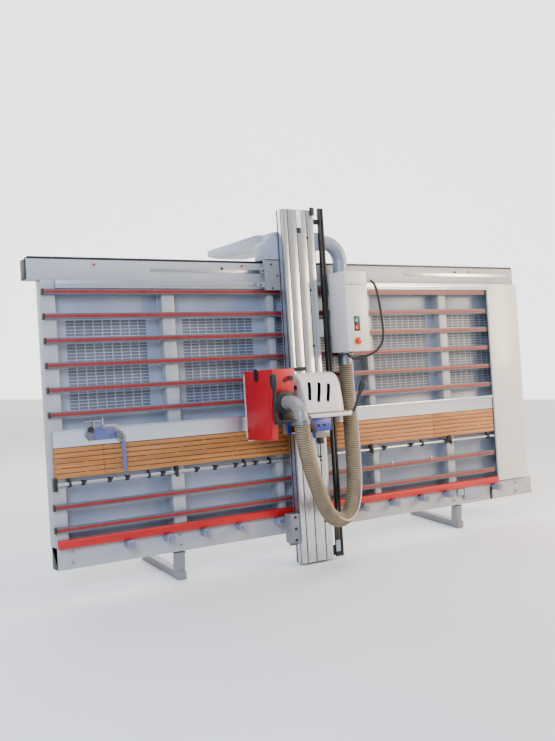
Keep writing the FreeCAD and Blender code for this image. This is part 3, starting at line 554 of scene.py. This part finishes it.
def board_rollers():
    """Rollers with a raised outer flange and a sunk face, turning on the bottom beam's pins."""
    profile = [(ROLLER_BORE, 0), (28.5, 0), (30, 1.5), (30, 68), (27, 70), (32.5, 70), (34, 71.5), (34, 80.5),
               (32, 82), (28, 82), (26.5, 80.2), (16, 80.2), (ROLLER_BORE, 80.2)]
    for number, x in enumerate(ROLLERS, start=1):
        drum = Shape()
        drum.lathe(local(x, ROLLER_BACK, ROLLER_UP), OUT, profile, 40)
        drum.done(f"roller_{number}_drum", "roller_plastic", f"roller_{number}", [f"roller_{number}"])


def beam_top():
    """The guide track on the top beam, its dark capping strip, the rule's ticks and its markers."""
    track = Shape()
    outline = [(0.2, 1962), (36, 1962), (36, 1984), (47, 1984),
               (47, 1998), (36, 1998), (36, 2019), (0.2, 2019)]
    track.prism("x", outline, (-2224, 1948), 1.6)
    track.done("guide_track", "aluminium", "frame", ["top_track"])
    capping = Shape()
    capping.box((-2400, 2330), (-80, 1), (2169, 2187), 2)
    capping.box((-2373, -2311), (-60, -6), (2173, 2188), 3)
    capping.box((-2423, -2402), (-106, -1), (2026, 2168), 4)
    capping.done("beam_capping", "black_metal", "frame")
    ticks = Shape()
    for low, high in RULES:
        for count, x in enumerate(range(low + 10, high - 5, TICK_STEP)):
            tall = 22 if count % 5 == 0 else 12
            ticks.box((x - 0.7, x + 0.7), (2.9, 3.25), (RULE_UP, RULE_UP + tall), 0)
    ticks.done("rule_ticks", "ink_and_groove_shade", "frame")
    red = Shape()
    for x, v in ((-1921, 2135), (-692, 2146), (1763, 2135)):
        red.box((x - 11, x + 11), (0, 6), (v - 7, v + 7), 1.5)
    red.done("rule_markers", "ledge_red", "frame")
    dark = Shape()
    for x, v in ((-874, 2123), (1586, 2128)):
        dark.box((x - 9, x + 9), (0, 8), (v - 9, v + 9), 1.5)
    dark.done("rule_stops", "black_plastic", "frame")


def base_trim():
    """The plain box at the right of the bottom beam, its bolts and a dark strip."""
    box = Shape()
    box.box((1515, 1734), (0.3, 26), (46, 154), 4, 3)
    box.box((1440, 1509), (0.3, 20), (82, 145), 3)
    box.done("stop_box", "duct_grey", "frame")
    bolts = Shape()
    for x, v in ((2352, 70), (2401, 14), (2182, 22), (2318, 12), (1545, 70), (1705, 130)):
        bolts.rod("n", 6, (0, 32 if 1515 < x < 1734 else 5), (x, v))
    bolts.done("base_bolts", "zinc", "frame")
    strip = Shape()
    strip.box((1857, 1885), (0.3, 4), (4, 116), 1)
    strip.done("base_strip", "black_plastic", "frame")


def shaft_trim():
    """The dark hooks that hold the support shaft, and its end plate."""
    hooks = Shape()
    for x in (-1382, 463, 1365):
        hooks.box((x - 12, x + 12), (6, 52), (630, 640), 2)
        hooks.box((x - 12, x + 12), (44, 52), (560, 632), 2)
    hooks.box((-2318, -2291), (2, 46), (552, 642), 3)
    hooks.done("shaft_hooks", "black_metal", "frame")


FACING_LOW = 635
FACING_HIGH = 846
FACING_ROWS = 6
FACING_SEAMS = (-2303, -1940, 1180, 1930)
FACING_FRONT = 30
GROOVE_STEP = 236
GROOVE_LONG = 210
GROOVE_HALF = 3.6


def facing():
    """The wooden facing: three lengths of board in rows, with dashed grooves between the rows."""
    levels = [FACING_LOW + (FACING_HIGH - FACING_LOW) * row / FACING_ROWS for row in range(FACING_ROWS + 1)]
    boards = Shape()
    for left, right in zip(FACING_SEAMS, FACING_SEAMS[1:]):
        for low, high in zip(levels, levels[1:]):
            boards.box((left + 1, right - 1), (0, FACING_FRONT), (low + 1.2, high - 1.2), 3.0)
    boards.done("facing_boards", "wood", "frame", ["wood_panels"])
    marks = Shape()
    # The dashed grooves are strips of darkened wood on the boards' front: painted shade of the grooves.
    for row, level in enumerate(levels[1:-1]):
        for x in range(FACING_SEAMS[0] + 7 + 40 * (row % 2), 1900, GROOVE_STEP):
            end = min(x + GROOVE_LONG, FACING_SEAMS[-1] - 5)
            marks.box((x, end), (20, FACING_FRONT + 0.4), (level - GROOVE_HALF, level + GROOVE_HALF), 0.8, 1)
    marks.done("facing_groove_shade", "groove_shade_brown", "frame")


# ------------------------------------------------------------------ the beam's finished pieces


BEAM_SPAN = (-219, 2577)
BEAM_FRONT = 198
BEAM_GROOVES = (-365, -280, -185)
PLATE_EDGE = -541


def beam_details():
    """Painted shade as dark lines in the saw beam's grooves, its screws and plates, and the bolts of its two
    carriages.
    """
    grooves = Shape()
    # Dark strips inside the beam's grooves and along its side lines: painted shade.
    for x in BEAM_GROOVES:
        grooves.box((x - 4.6, x + 4.6), (BEAM_FRONT - 2, BEAM_FRONT - 1), BEAM_SPAN, 0)
    for n in ((112, 128), (168, 178)):
        grooves.box((-412.6, -411.8), n, BEAM_SPAN, 0)
    grooves.done("beam_groove_shade", "ink_and_groove_shade", "saw_beam")
    screws = Shape()
    for x, v in ((-185, 2353), (-185, 1935), (-185, 1488), (-185, 573), (-176, 82)):
        screws.rod("n", 8, (BEAM_FRONT, BEAM_FRONT + 3), (x, v))
        screws.rod("n", 12, (BEAM_FRONT, BEAM_FRONT + 2.4), (x, v))
    screws.box((-276, -246), (200, 207), (2391, 2431), 2)
    screws.box((-150, -112), (196, 214), (2535, 2600), 3)
    screws.done("beam_screws", "black_plastic", "saw_beam")
    label = Shape()
    label.box((-283, -240), (200.2, 203.5), (2431, 2573), 1.5)
    label.box((-96, -64), (206, 207.5), (40, 72), 0.6)
    label.done("beam_plates", "white_label", "saw_beam")
    shield = Shape()
    shield.box((-92, -50), (206, 208), (-170, -80), 1)
    shield.done("shield_plate", "duct_grey", "saw_beam")
    guides = Shape()
    for v in (-30, 60, 150):
        guides.rod("n", 11, (188, 196), (-455, v))
    for x, v in ((-585, 1987), (-557, 2098), (-480, 2150), (-480, 1960), (-430, 2060)):
        guides.rod("n", 8, (98, 106) if x > PLATE_EDGE else (93, 100), (x, v))
    guides.done("guide_bolts", "black_metal", "saw_beam")


EMERGENCY = (106, 1504)
KEY_X = 111
KEYS = (("start", 1672, "button_green"), ("stop", 1616, "button_red"))
CABINET_FRONT = 395


def cabinet_details():
    """The control box's doors, seams, glands and buttons."""
    dark = Shape()
    dark.box((13.6, 233), (394.4, 395.5), (1955.6, 1958.4), 0)
    dark.box((232, 263.4), (330, 334), (1955.6, 1958.4), 0)
    dark.box((KEY_X - 30, KEY_X + 30), (CABINET_FRONT, CABINET_FRONT + 2), (1584, 1704), 3)
    dark.rod("n", 22, (CABINET_FRONT - 1, CABINET_FRONT + 4), EMERGENCY)
    dark.rod("x", 16.5, (262, 268), (370, 2000), 1)
    dark.rod("v", 17, (1416, 1424), (122, 290), 1)
    dark.rod("v", 16.2, (1388.5, 1396), (122, 290), 0.6)
    dark.done("cabinet_bezels", "black_plastic", "saw_beam")
    ring = Shape()
    ring.lathe(local(EMERGENCY[0], CABINET_FRONT, EMERGENCY[1]), OUT,
               [(13, 0), (33, 0), (34, 1), (33, 2.6), (13, 2.6)], 40)
    ring.done("emergency_ring", "button_yellow", "saw_beam")
    for label, level, look in KEYS:
        key = Shape()
        key.lathe(local(KEY_X, CABINET_FRONT - 10, level), OUT,
                  [(0, 0), (20, 0), (20, 14.5), (18.6, 16), (16, 16), (14.5, 15), (0, 14.6)], 40)
        key.done(f"{label}_key", look, f"{label}_button", [f"{label}_button"])
    mushroom = Shape()
    mushroom.lathe(local(EMERGENCY[0], CABINET_FRONT - 14, EMERGENCY[1]), OUT,
                   [(0, 0), (12, 0), (12, 23), (20, 24), (26.5, 27), (28, 31),
                    (26.5, 35), (21, 38.5), (11, 40.4), (0, 41)], 40)
    mushroom.done("emergency_head", "button_red", "emergency_stop", ["emergency_stop"])
    door = Shape()
    for v in ((1962, 2058), (1432, 1952)):
        door.box((20, 226), (CABINET_FRONT, CABINET_FRONT + 1.6), v, 2)
    door.done("cabinet_door", "box_beige", "saw_beam")


PIPE = (189, 107.5)


def duct_details():
    """The duct's bolts and the hose's two clamps and sleeve on the rigid pipe."""
    bolts = Shape()
    for x, v in ((-500, 2215), (-90, 2215), (-90, 2385), (-420, 2385)):
        bolts.rod("n", 7, (99, 105), (x, v))
    bolts.done("duct_bolts", "zinc", "saw_beam")
    bands = Shape()
    for low, high in ((1392, 1408), (1326, 1340)):
        tall = high - low
        bands.lathe(local(*PIPE, low), UP,
                    [(58.3, 0), (61.6, 0), (62, 0.6), (62, tall - 0.6), (61.6, tall), (58.3, tall)], 48)
    bands.lathe(local(*PIPE, 1340), UP, [(58.2, 0), (60.6, 0), (61.2, 10), (61.2, 52), (58.2, 52)], 48)
    bands.box((176, 202), (165, 174), (1328, 1338), 1.5)
    bands.done("hose_clamp_top", "zinc", "saw_beam")


# ------------------------------------------------------------------ the saw's finished pieces


def between(points, count):
    """A smooth run through 2-D points, count steps for each gap."""
    result = []
    for i in range(len(points) - 1):
        p0 = points[max(i - 1, 0)]
        p1 = points[i]
        p2 = points[i + 1]
        p3 = points[min(i + 2, len(points) - 1)]
        for step in range(count):
            t = step / count
            result.append(tuple(
                0.5 * (2 * b + (c - a) * t + (2 * a - 5 * b + 4 * c - d) * t * t
                       + (3 * b - a - 3 * c + d) * t ** 3)
                for a, b, c, d in zip(p0, p1, p2, p3)))
    result.append(tuple(points[-1]))
    return result


def capsule(start, end, radius, steps=10):
    """The outline of a round-ended slot between two points."""
    turn = math.atan2(end[1] - start[1], end[0] - start[0])
    outline = []
    for centre, base in ((end, turn - math.pi / 2), (start, turn + math.pi / 2)):
        for step in range(steps + 1):
            angle = base + math.pi * step / steps
            outline.append((centre[0] + radius * math.cos(angle), centre[1] + radius * math.sin(angle)))
    return outline


COVER_ENDS = (-450, -46)
COVER_ROUND = 58
COVER_CORNER = (233, 951)
COVER_OUTLINE = [(233, 1276), (287, 1270), (340, 1245), (387, 1174), (423, 1066), (445, 951)]
COVER_DEPTH = 230
COVER_THICK = 3
VENTS = (((-378, 1187), (-408, 1073)), ((-287, 1180), (-330, 1055)), ((-202, 1168), (-242, 1053)))
VENT_RADIUS = 15


def plain_object(name, shape):
    """The shape's mesh as a helper object, still in wall millimetres."""
    data = bpy.data.meshes.new(name)
    shape.mesh.to_mesh(data)
    shape.mesh.free()
    thing = bpy.data.objects.new(name, data)
    bpy.context.scene.collection.objects.link(thing)
    return thing


def cover_dome(profile):
    """The cover's outer skin: the profile carried along x, drawn in round its right end."""
    bend = COVER_ENDS[1] - COVER_ROUND
    steps = 8
    stations = [COVER_ENDS[0], -380, -300, -220, -150, bend]
    stations += [bend + COVER_ROUND * math.sin(math.pi / 2 * step / steps) for step in range(1, steps + 1)]
    shell = Shape()
    rings = []
    for x in stations:
        reach = max(0.0, x - bend)
        inset = COVER_ROUND - math.sqrt(max(0.0, COVER_ROUND ** 2 - reach ** 2))
        share = 1 - inset / COVER_DEPTH
        lean_back = 0.30 * min(1.0, max(0.0, (x + 330) / 280))
        ring = []
        for n, v in profile:
            out = COVER_CORNER[0] + (n - COVER_CORNER[0]) * share
            up = COVER_CORNER[1] + (v - COVER_CORNER[1]) * share
            ring.append(shell.mesh.verts.new(local(x - lean_back * max(0.0, out - 300), out, up)))
        rings.append(ring)
    for a, b in zip(rings, rings[1:]):
        for i in range(len(profile) - 1):
            shell.mesh.faces.new((a[i], b[i], b[i + 1], a[i + 1]))
    end = rings[-1]
    corner = shell.mesh.verts.new(local(stations[-1], *COVER_CORNER))
    for i in range(len(profile) - 1):
        shell.mesh.faces.new((corner, end[i + 1], end[i]))
    bmesh.ops.recalc_face_normals(shell.mesh, faces=shell.mesh.faces)
    return shell


def motor_cover():
    """A domed cover with a rounded right end, three vent slots and a rim along its lower edge."""
    profile = between(COVER_OUTLINE, 6)
    blank = plain_object("cover_shell", cover_dome(profile))
    cutter = Shape()
    for low, high in VENTS:
        cutter.prism("n", capsule(low, high, VENT_RADIUS), (320, 520), 0)
    knife = plain_object("cover_cutter", cutter)
    skin = blank.modifiers.new("skin", "SOLIDIFY")
    skin.thickness = COVER_THICK
    skin.offset = -1
    cut = blank.modifiers.new("cut", "BOOLEAN")
    cut.object = knife
    cut.operation = "DIFFERENCE"
    cut.solver = "EXACT"
    bpy.context.view_layer.update()
    evaluated = blank.evaluated_get(bpy.context.evaluated_depsgraph_get())
    final = Shape()
    final.mesh.from_mesh(evaluated.to_mesh())
    for thing in (blank, knife):
        bpy.data.objects.remove(thing)
    final.done("motor_cover_shell", "panel_white", "saw_unit", ["motor_cover"])
    rim = Shape()
    rim.box((-456, -60), (430, 484), (924, 953), 10, 4)
    rim.box((-452, -60), (236, 430), (944, 948), 1)
    rim.rod("x", 15, (-72, -46), (456, 944), 2)
    rim.done("cover_rim", "panel_white", "saw_unit")
    cheek = Shape()
    cheek.prism("x", [(236, 950)] + [(n - 2, v - 2) for n, v in profile], (-458, -448), 3)
    cheek.done("cover_cheek", "panel_white", "saw_unit")
    inside = Shape()
    inside.box((-446, -62), (234, 237), (1054, 1258), 0.5)
    inside.box((-600, -460), (300, 330), (1150, 1180), 2)
    inside.done("cover_lining", "black_plastic", "saw_unit")
    seam = Shape()
    seam.box((-452, -84), (436, 456), (952, 966), 4, 3)
    seam.done("cover_seam", "elbow_grey", "saw_unit")


def hood_details():
    """The hood's grip rest, knobs and screws, the clear guard and a seam."""
    dark = Shape()
    dark.prism("x", capsule((300, 1254), (300, 1291), 31, 12), (-806, -799.5), 2.5)
    dark.rod("n", 17, (519, 530), (-646, 1239), 2)
    dark.rod("n", 20, (529, 543), (-646, 1239), 4)
    dark.rod("n", 12, (516, 528), (-687, 1223), 2)
    dark.rod("x", 15.2, (-560, -496), (515, 1302), 4)
    for v in (1120, 860):
        dark.rod("x", 6, (-804, -799.5), (150, v))
    dark.done("hood_fittings", "black_plastic", "saw_unit")
    guard = Shape()
    guard.box((-803, -800.4), (106, 124), (800, 1290), 0.8)
    guard.box((-800, -760), (121, 160), (774, 785), 2)
    guard.done("clear_guard", "clear_guard", "saw_unit")
    edge = Shape()
    edge.box((-801.4, -799.8), (462, 470), (800, 1120), 0.3)
    edge.done("hood_seam", "seam_red", "saw_unit")


# Each lever's points in its own plane, as x, v and the lever's radius there.
CLAMP_OUT = 600
CLAMP_LEVER = [(-655, 925, 11), (-700, 925, 12), (-780, 925, 13), (-812, 926, 13.5), (-828, 932, 13.5),
               (-836, 946, 13), (-838, 970, 12.5), (-838, 1050, 12.5), (-838, 1120, 13.5), (-838, 1158, 16),
               (-838, 1170, 20), (-838, 1190, 25), (-838, 1225, 28), (-838, 1252, 27), (-838, 1266, 22),
               (-838, 1273, 14), (-838, 1275, 5)]
PLUNGE_OUT = 456
PLUNGE_LEVER = [(-103, 944, 7.9), (-62, 944, 7.9), (-46, 944, 9), (-36, 946, 10), (-24, 956, 10.5),
                (-4, 984, 11.5), (22, 1034, 12), (44, 1080, 13), (54, 1102, 16), (60, 1114, 20),
                (72, 1136, 26), (84, 1160, 28.5), (92, 1176, 24), (96, 1184, 15), (98, 1188, 5)]


def lever(node, out, points):
    """A bent rod that swells into a grip, in the plane that is out from the wall."""
    shape = Shape()
    shape.sweep([(x, out, v) for x, v, radius in points], [radius for x, v, radius in points], 20)
    shape.done(node + "_finished", "black_plastic", node, [node])


SWIVEL = (-712, 1060)
MOUTH = (-712, 741)


def carriage_details():
    """The saw carriage's light blocks and screws, the swivel's bell and the hose's lower clamps."""
    light = Shape()
    light.box((-468, -438), (230, 236), (803, 899), 3)
    light.box((-465.5, -430), (102, 119.5), (800, 902), 2)
    light.box((-242, -105), (222, 234), (756, 806), 4)
    light.done("carriage_blocks", "elbow_grey", "saw_carriage")
    dark = Shape()
    for x in (-205, -150):
        dark.rod("n", 9, (229, 237), (x, 852))
    dark.rod("n", 6, (235, 240), (-453, 850))
    dark.box((-205, -160), (202.4, 226), (705, 757), 3)
    dark.rod("v", 5, (590, 707), (-192, 212))
    dark.rod("n", 8, (201, 216), (-192, 600))
    dark.done("carriage_screws", "black_plastic", "saw_carriage")
    bell = Shape()
    bell.lathe(local(SWIVEL[0], 514, SWIVEL[1]), OUT,
               [(62.5, 0), (84, 0), (86, 3), (86, 30), (82, 34), (60, 46), (52, 48), (50.3, 48), (50.3, 22),
                (62.5, 21)], 48)
    bell.box((-740, -640), (536, 548), (915, 1000), 5)
    bell.done("swivel_bell", "black_metal", "saw_carriage")
    band = Shape()
    for low in (901, 917):
        band.lathe(local(*MOUTH, low), UP,
                   [(50.2, 0), (62.4, 0), (63, 0.8), (63, 9.2), (62.4, 10), (50.2, 10)], 48)
    band.lathe(local(*MOUTH, 930), UP, [(50.1, 0), (59, 0), (55, 9), (52.5, 12), (50.1, 12)], 48)
    band.box((-722, -700), (801, 811), (902, 912), 1.5)
    band.done("hose_clamp_low", "zinc", "saw_carriage")


def stop_details():
    """The length stop's knob, plate and wheels, and the face of its hanging flag."""
    knob = Shape()
    knob.rod("n", 17, (60, 86), (-2045, 962), 3)
    knob.rod("n", 21, (78, 90), (-2045, 962), 4)
    knob.done("stop_knob", "black_plastic", "stop_carriage")
    plate = Shape()
    plate.box((-2032, -1856), (60, 63), (884, 974), 3)
    plate.done("stop_plate", "stop_blue", "stop_carriage")
    face = Shape()
    face.box((-1812.5, -1785.5), (69.8, 71.2), (648, 862), 1)
    face.done("flag_face", "stop_blue", "stop_flag")
    wheels = Shape()
    for x in (-2053, -1836):
        wheels.rod("n", 27, (86, 92), (x, 912), 3)
    wheels.done("stop_wheels", "cast_grey", "stop_carriage")


LINK_START = -592
LINK_FROM = -560
LINK_TOP = 1140


def shortened_links():
    """Ends the saw frame's two links inside its front plate, because the photo shows none beside it."""
    thing = bpy.data.objects["saw_frame_finished"]
    back = WALL.inverted()
    for vert in thing.data.vertices:
        place = back @ vert.co
        if place.x > LINK_FROM and place.z < LINK_TOP:
            place.x = LINK_START
            vert.co = WALL @ place


SOFTENED = {
    "top_beam": 3.0, "bottom_beam": 3.0, "end_posts": 3.0, "uprights": 3.0, "slat_profiles": 1.2,
    "mid_rails": 1.5, "lower_ledge": 3.0, "shaft_brackets": 2.0, "support_shaft": 1.0, "support_pawls": 2.0,
    "feet": 4.0, "end_panel": 1.2, "beam_profile": 1.6, "beam_carriages": 3.0, "extraction_duct": 1.2,
    "control_box": 1.2, "stop_rod": 1.2, "carriage_plate": 3.0, "swivel_bracket": 3.0, "blade_hood": 1.2,
    "saw_frame": 2.0, "stop_carriage": 1.5, "stop_flag": 1.2, "plain_panels": 0.5, "rule_rail": 0.6,
}
for name, width in SOFTENED.items():
    softened(name, width)
shortened_links()

holed_panels()
slat_trim()
board_rollers()
beam_top()
base_trim()
shaft_trim()
facing()
beam_details()
cabinet_details()
duct_details()
motor_cover()
hood_details()
lever("clamp_lever", CLAMP_OUT, CLAMP_LEVER)
lever("plunge_lever", PLUNGE_OUT, PLUNGE_LEVER)
carriage_details()
stop_details()

# ------------------------------------------------------------------ stage, light and camera

CAMERA_PLACE = Vector((-4.3506, -5.9944, 1.8938))
CAMERA_YAW = math.radians(32.638)
CAMERA_PITCH = math.radians(4.654)
CAMERA_LENS = 44.20
CAMERA_SENSOR = 36
BACKDROP_AWAY = 11.0
BACKDROP_HALF = 60
BACKDROP_HIGH = 20
BACKDROP_GLOW = 2.2
FLOOR_HALF = 70
FLOOR_GAP = 0.0005
WORLD_GLOW = 0.50


def stage():
    """The pale floor, and a pale glowing sheet behind the machine, square to the camera."""
    shape = bmesh.new()
    bmesh.ops.create_grid(shape, x_segments=1, y_segments=1, size=FLOOR_HALF)
    data = bpy.data.meshes.new("floor")
    shape.to_mesh(data)
    shape.free()
    floor = bpy.data.objects.new("floor", data)
    floor.location.z = -FLOOR_GAP
    bpy.context.scene.collection.objects.link(floor)
    paint = Paint("floor_paint")
    shades = [(0.3, (0.80, 0.80, 0.80)), (0.7, (0.84, 0.84, 0.84))]
    paint.link(paint.ramp(paint.noise(0.6, 4.0), shades), "Base Color")
    paint.fixed(Roughness=0.75)
    data.materials.append(paint.material)
    screen = bpy.data.meshes.new("backdrop")
    across = Vector((math.cos(CAMERA_YAW), -math.sin(CAMERA_YAW), 0)) * BACKDROP_HALF
    middle = Vector((math.sin(CAMERA_YAW), math.cos(CAMERA_YAW), 0)) * BACKDROP_AWAY
    up = UP * BACKDROP_HIGH
    corners = [middle - across, middle + across, middle + across + up, middle - across + up]
    screen.from_pydata(corners, [], [(0, 1, 2, 3)])
    backdrop = bpy.data.objects.new("backdrop", screen)
    bpy.context.scene.collection.objects.link(backdrop)
    sheet = Paint("backdrop_paint")
    shades = [(0.3, (0.96, 0.96, 0.97)), (0.7, (1.0, 1.0, 1.0))]
    sheet.link(sheet.ramp(sheet.noise(0.3, 3.0), shades), "Emission Color")
    sheet.fixed(Emission_Strength=BACKDROP_GLOW, Roughness=0.9)
    screen.materials.append(sheet.material)


def area_light(name, place, target, width, height, power, colour=(1, 1, 1)):
    """A soft rectangular lamp at place that points at target, both in metres."""
    data = bpy.data.lights.new(name, "AREA")
    data.shape = "RECTANGLE"
    data.size = width
    data.size_y = height
    data.energy = power
    data.color = colour
    lamp = bpy.data.objects.new(name, data)
    lamp.location = place
    lamp.rotation_euler = (Vector(target) - Vector(place)).to_track_quat("-Z", "Y").to_euler()
    bpy.context.scene.collection.objects.link(lamp)


def lights_and_camera():
    world = bpy.data.worlds.new("studio")
    world.use_nodes = True
    background = world.node_tree.nodes["Background"]
    background.inputs["Color"].default_value = (0.93, 0.95, 1.0, 1)
    background.inputs["Strength"].default_value = WORLD_GLOW
    bpy.context.scene.world = world
    area_light("key", (-5.5, -5.5, 4.6), (-1.5, 0, 1.2), 3, 2.5, 560, (0.50, 0.66, 1.0))
    area_light("warm", (5.5, -4.0, 3.4), (1.2, 0, 1.3), 2.5, 2.5, 520, (1.0, 0.76, 0.50))
    area_light("top", (0, -1.0, 6.0), (0, 0, 1.0), 6, 3, 220)
    area_light("rear", (0, 5.0, 3.5), (0, 0, 1.2), 6, 3, 160)
    data = bpy.data.cameras.new("camera")
    data.lens = CAMERA_LENS
    data.sensor_width = CAMERA_SENSOR
    data.clip_end = 100
    camera = bpy.data.objects.new("camera", data)
    camera.location = CAMERA_PLACE + SHIFT
    camera.rotation_euler = (math.radians(90) - CAMERA_PITCH, 0, -CAMERA_YAW)
    bpy.context.scene.collection.objects.link(camera)
    bpy.context.scene.camera = camera


stage()
lights_and_camera()

# ------------------------------------------------------------------ hose and cables
# Each route runs from the cord's exit to its far end, as x, n, v.

HOSE = [(189, 107.5, 1390), (189, 107.5, 1210), (186, 118, 940), (157, 165, 670), (108, 235, 440),
        (30, 312, 255), (-80, 385, 140), (-215, 448, 115), (-340, 506, 170), (-440, 563, 285),
        (-530, 621, 430), (-622, 681, 600), (-694, 731, 765), (-712, 741, 925)]
MOTOR_CABLE = [(-560, 560, 900), (-556, 560, 800), (-500, 562, 690), (-462, 563, 560), (-430, 561, 410),
               (-385, 556, 285), (-310, 543, 180), (-205, 508, 120), (-95, 455, 115), (0, 410, 170),
               (65, 370, 270), (105, 335, 400), (124, 312, 550), (130, 302, 700), (127, 298, 850),
               (120, 296, 1000), (115, 295, 1140), (117, 292, 1270), (122, 290, 1390)]
CONTROL_CABLE = [(277, 370, 2000), (317, 371, 1988), (345, 377, 1930), (361, 381, 1830), (375, 383, 1720),
                 (386, 384, 1610), (382, 381, 1505), (330, 368, 1425), (240, 352, 1385), (140, 336, 1364),
                 (75, 325, 1372), (51, 318.8, 1418)]


def smooth_line(name, points, resolution=24):
    """The points of one NURBS line through a cord's route, in the row's frame."""
    curve = bpy.data.curves.new(name, "CURVE")
    curve.dimensions = "3D"
    spline = curve.splines.new("NURBS")
    spline.points.add(len(points) - 1)
    for point, place in zip(spline.points, points):
        point.co = (*at(*place), 1)
    spline.order_u = 3
    spline.use_endpoint_u = True
    spline.resolution_u = resolution
    holder = bpy.data.objects.new(name, curve)
    bpy.context.scene.collection.objects.link(holder)
    bpy.context.view_layer.update()
    mesh = bpy.data.meshes.new_from_object(holder.evaluated_get(bpy.context.evaluated_depsgraph_get()))
    line = [vert.co.copy() for vert in mesh.vertices]
    bpy.data.objects.remove(holder)
    return line


def length_of(line):
    return sum((b - a).length for a, b in zip(line, line[1:]))


def resampled(line, step):
    """The same line with even steps."""
    whole = length_of(line)
    count = max(2, round(whole / step))
    result = [line[0]]
    target = whole / count
    walked = 0.0
    for a, b in zip(line, line[1:]):
        run = (b - a).length
        while walked + run >= target * len(result) and len(result) < count:
            result.append(a.lerp(b, (target * len(result) - walked) / run))
        walked += run
    result.append(line[-1])
    return result


def world_tube(name, line, radius, look, sides=20):
    """A tube along points that are already in the row's frame, in metres."""
    shape = Shape()
    shape.sweep(line, radius, sides)
    data = bpy.data.meshes.new(name)
    bmesh.ops.recalc_face_normals(shape.mesh, faces=shape.mesh.faces)
    shape.mesh.to_mesh(data)
    shape.mesh.free()
    data.shade_smooth()
    data.set_sharp_from_angle(angle=TUBE_ANGLE)
    thing = bpy.data.objects.new(name, data)
    bpy.context.scene.collection.objects.link(thing)
    data.materials.append(MATERIALS[look])
    return thing


# Metres, as the cords are drawn straight into the row's frame.
HOSE_RADIUS = 0.058
HOSE_WAVE = 0.0040
RIB_STEP = 0.0165
RIB_SUNK = 0.0036
# The width of the dark ring of painted shade in each hollow.
HOLLOW_SHADE_WIDTH = 0.0024
MOTOR_CABLE_RADIUS = 0.007
CONTROL_CABLE_RADIUS = 0.010


def extraction_hose():
    """The corrugated hose with a dark ring of painted shade in each hollow; it bends between the beam and the
    saw carriage.
    """
    line = smooth_line("hose_line", HOSE)
    steps = resampled(line, RIB_STEP / 4)
    wave = (0.0, 0.55, 1.0, 0.55)
    radii = [HOSE_RADIUS - HOSE_WAVE * wave[i % 4] for i in range(len(steps))]
    hose = world_tube("extraction_hose_skin", steps, radii, "hose_beige", 32)
    # A dark ring sunk in each hollow of the corrugation, as painted shade.
    low = HOSE_RADIUS - RIB_SUNK
    high = low + HOLLOW_SHADE_WIDTH
    outline = [(low, 0), (high, HOLLOW_SHADE_WIDTH * 0.3), (high, HOLLOW_SHADE_WIDTH * 1.7), (low, HOLLOW_SHADE_WIDTH * 2)]
    hollow_shade = Shape()
    for i in range(2, len(steps) - 2, 4):
        way = (steps[i + 1] - steps[i - 1]).normalized()
        hollow_shade.lathe(steps[i] - way * HOLLOW_SHADE_WIDTH, way, outline, 32)
    data = bpy.data.meshes.new("hose_hollow_shade_rings")
    hollow_shade.mesh.to_mesh(data)
    hollow_shade.mesh.free()
    data.shade_smooth()
    shade_rings = bpy.data.objects.new("hose_hollow_shade_rings", data)
    bpy.context.scene.collection.objects.link(shade_rings)
    data.materials.append(MATERIALS["hose_hollow_shade"])
    for thing in (hose, shade_rings):
        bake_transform(thing)
    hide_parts("extraction_hose")


def motor_cable():
    """The motor's cable, which follows the hose up to the control box."""
    line = smooth_line("motor_cable_line", MOTOR_CABLE, 10)
    cable = world_tube("motor_cable_sheath", line, MOTOR_CABLE_RADIUS, "cable_grey", 12)
    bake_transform(cable)
    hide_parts("motor_cable")


def control_cable():
    """The black loop from the control box's side round to its underside."""
    line = smooth_line("control_cable_line", CONTROL_CABLE, 12)
    cable = world_tube("control_cable_sheath", line, CONTROL_CABLE_RADIUS, "cable_black", 16)
    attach(cable, "saw_beam")
    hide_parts("control_cable")


extraction_hose()
motor_cable()
control_cable()
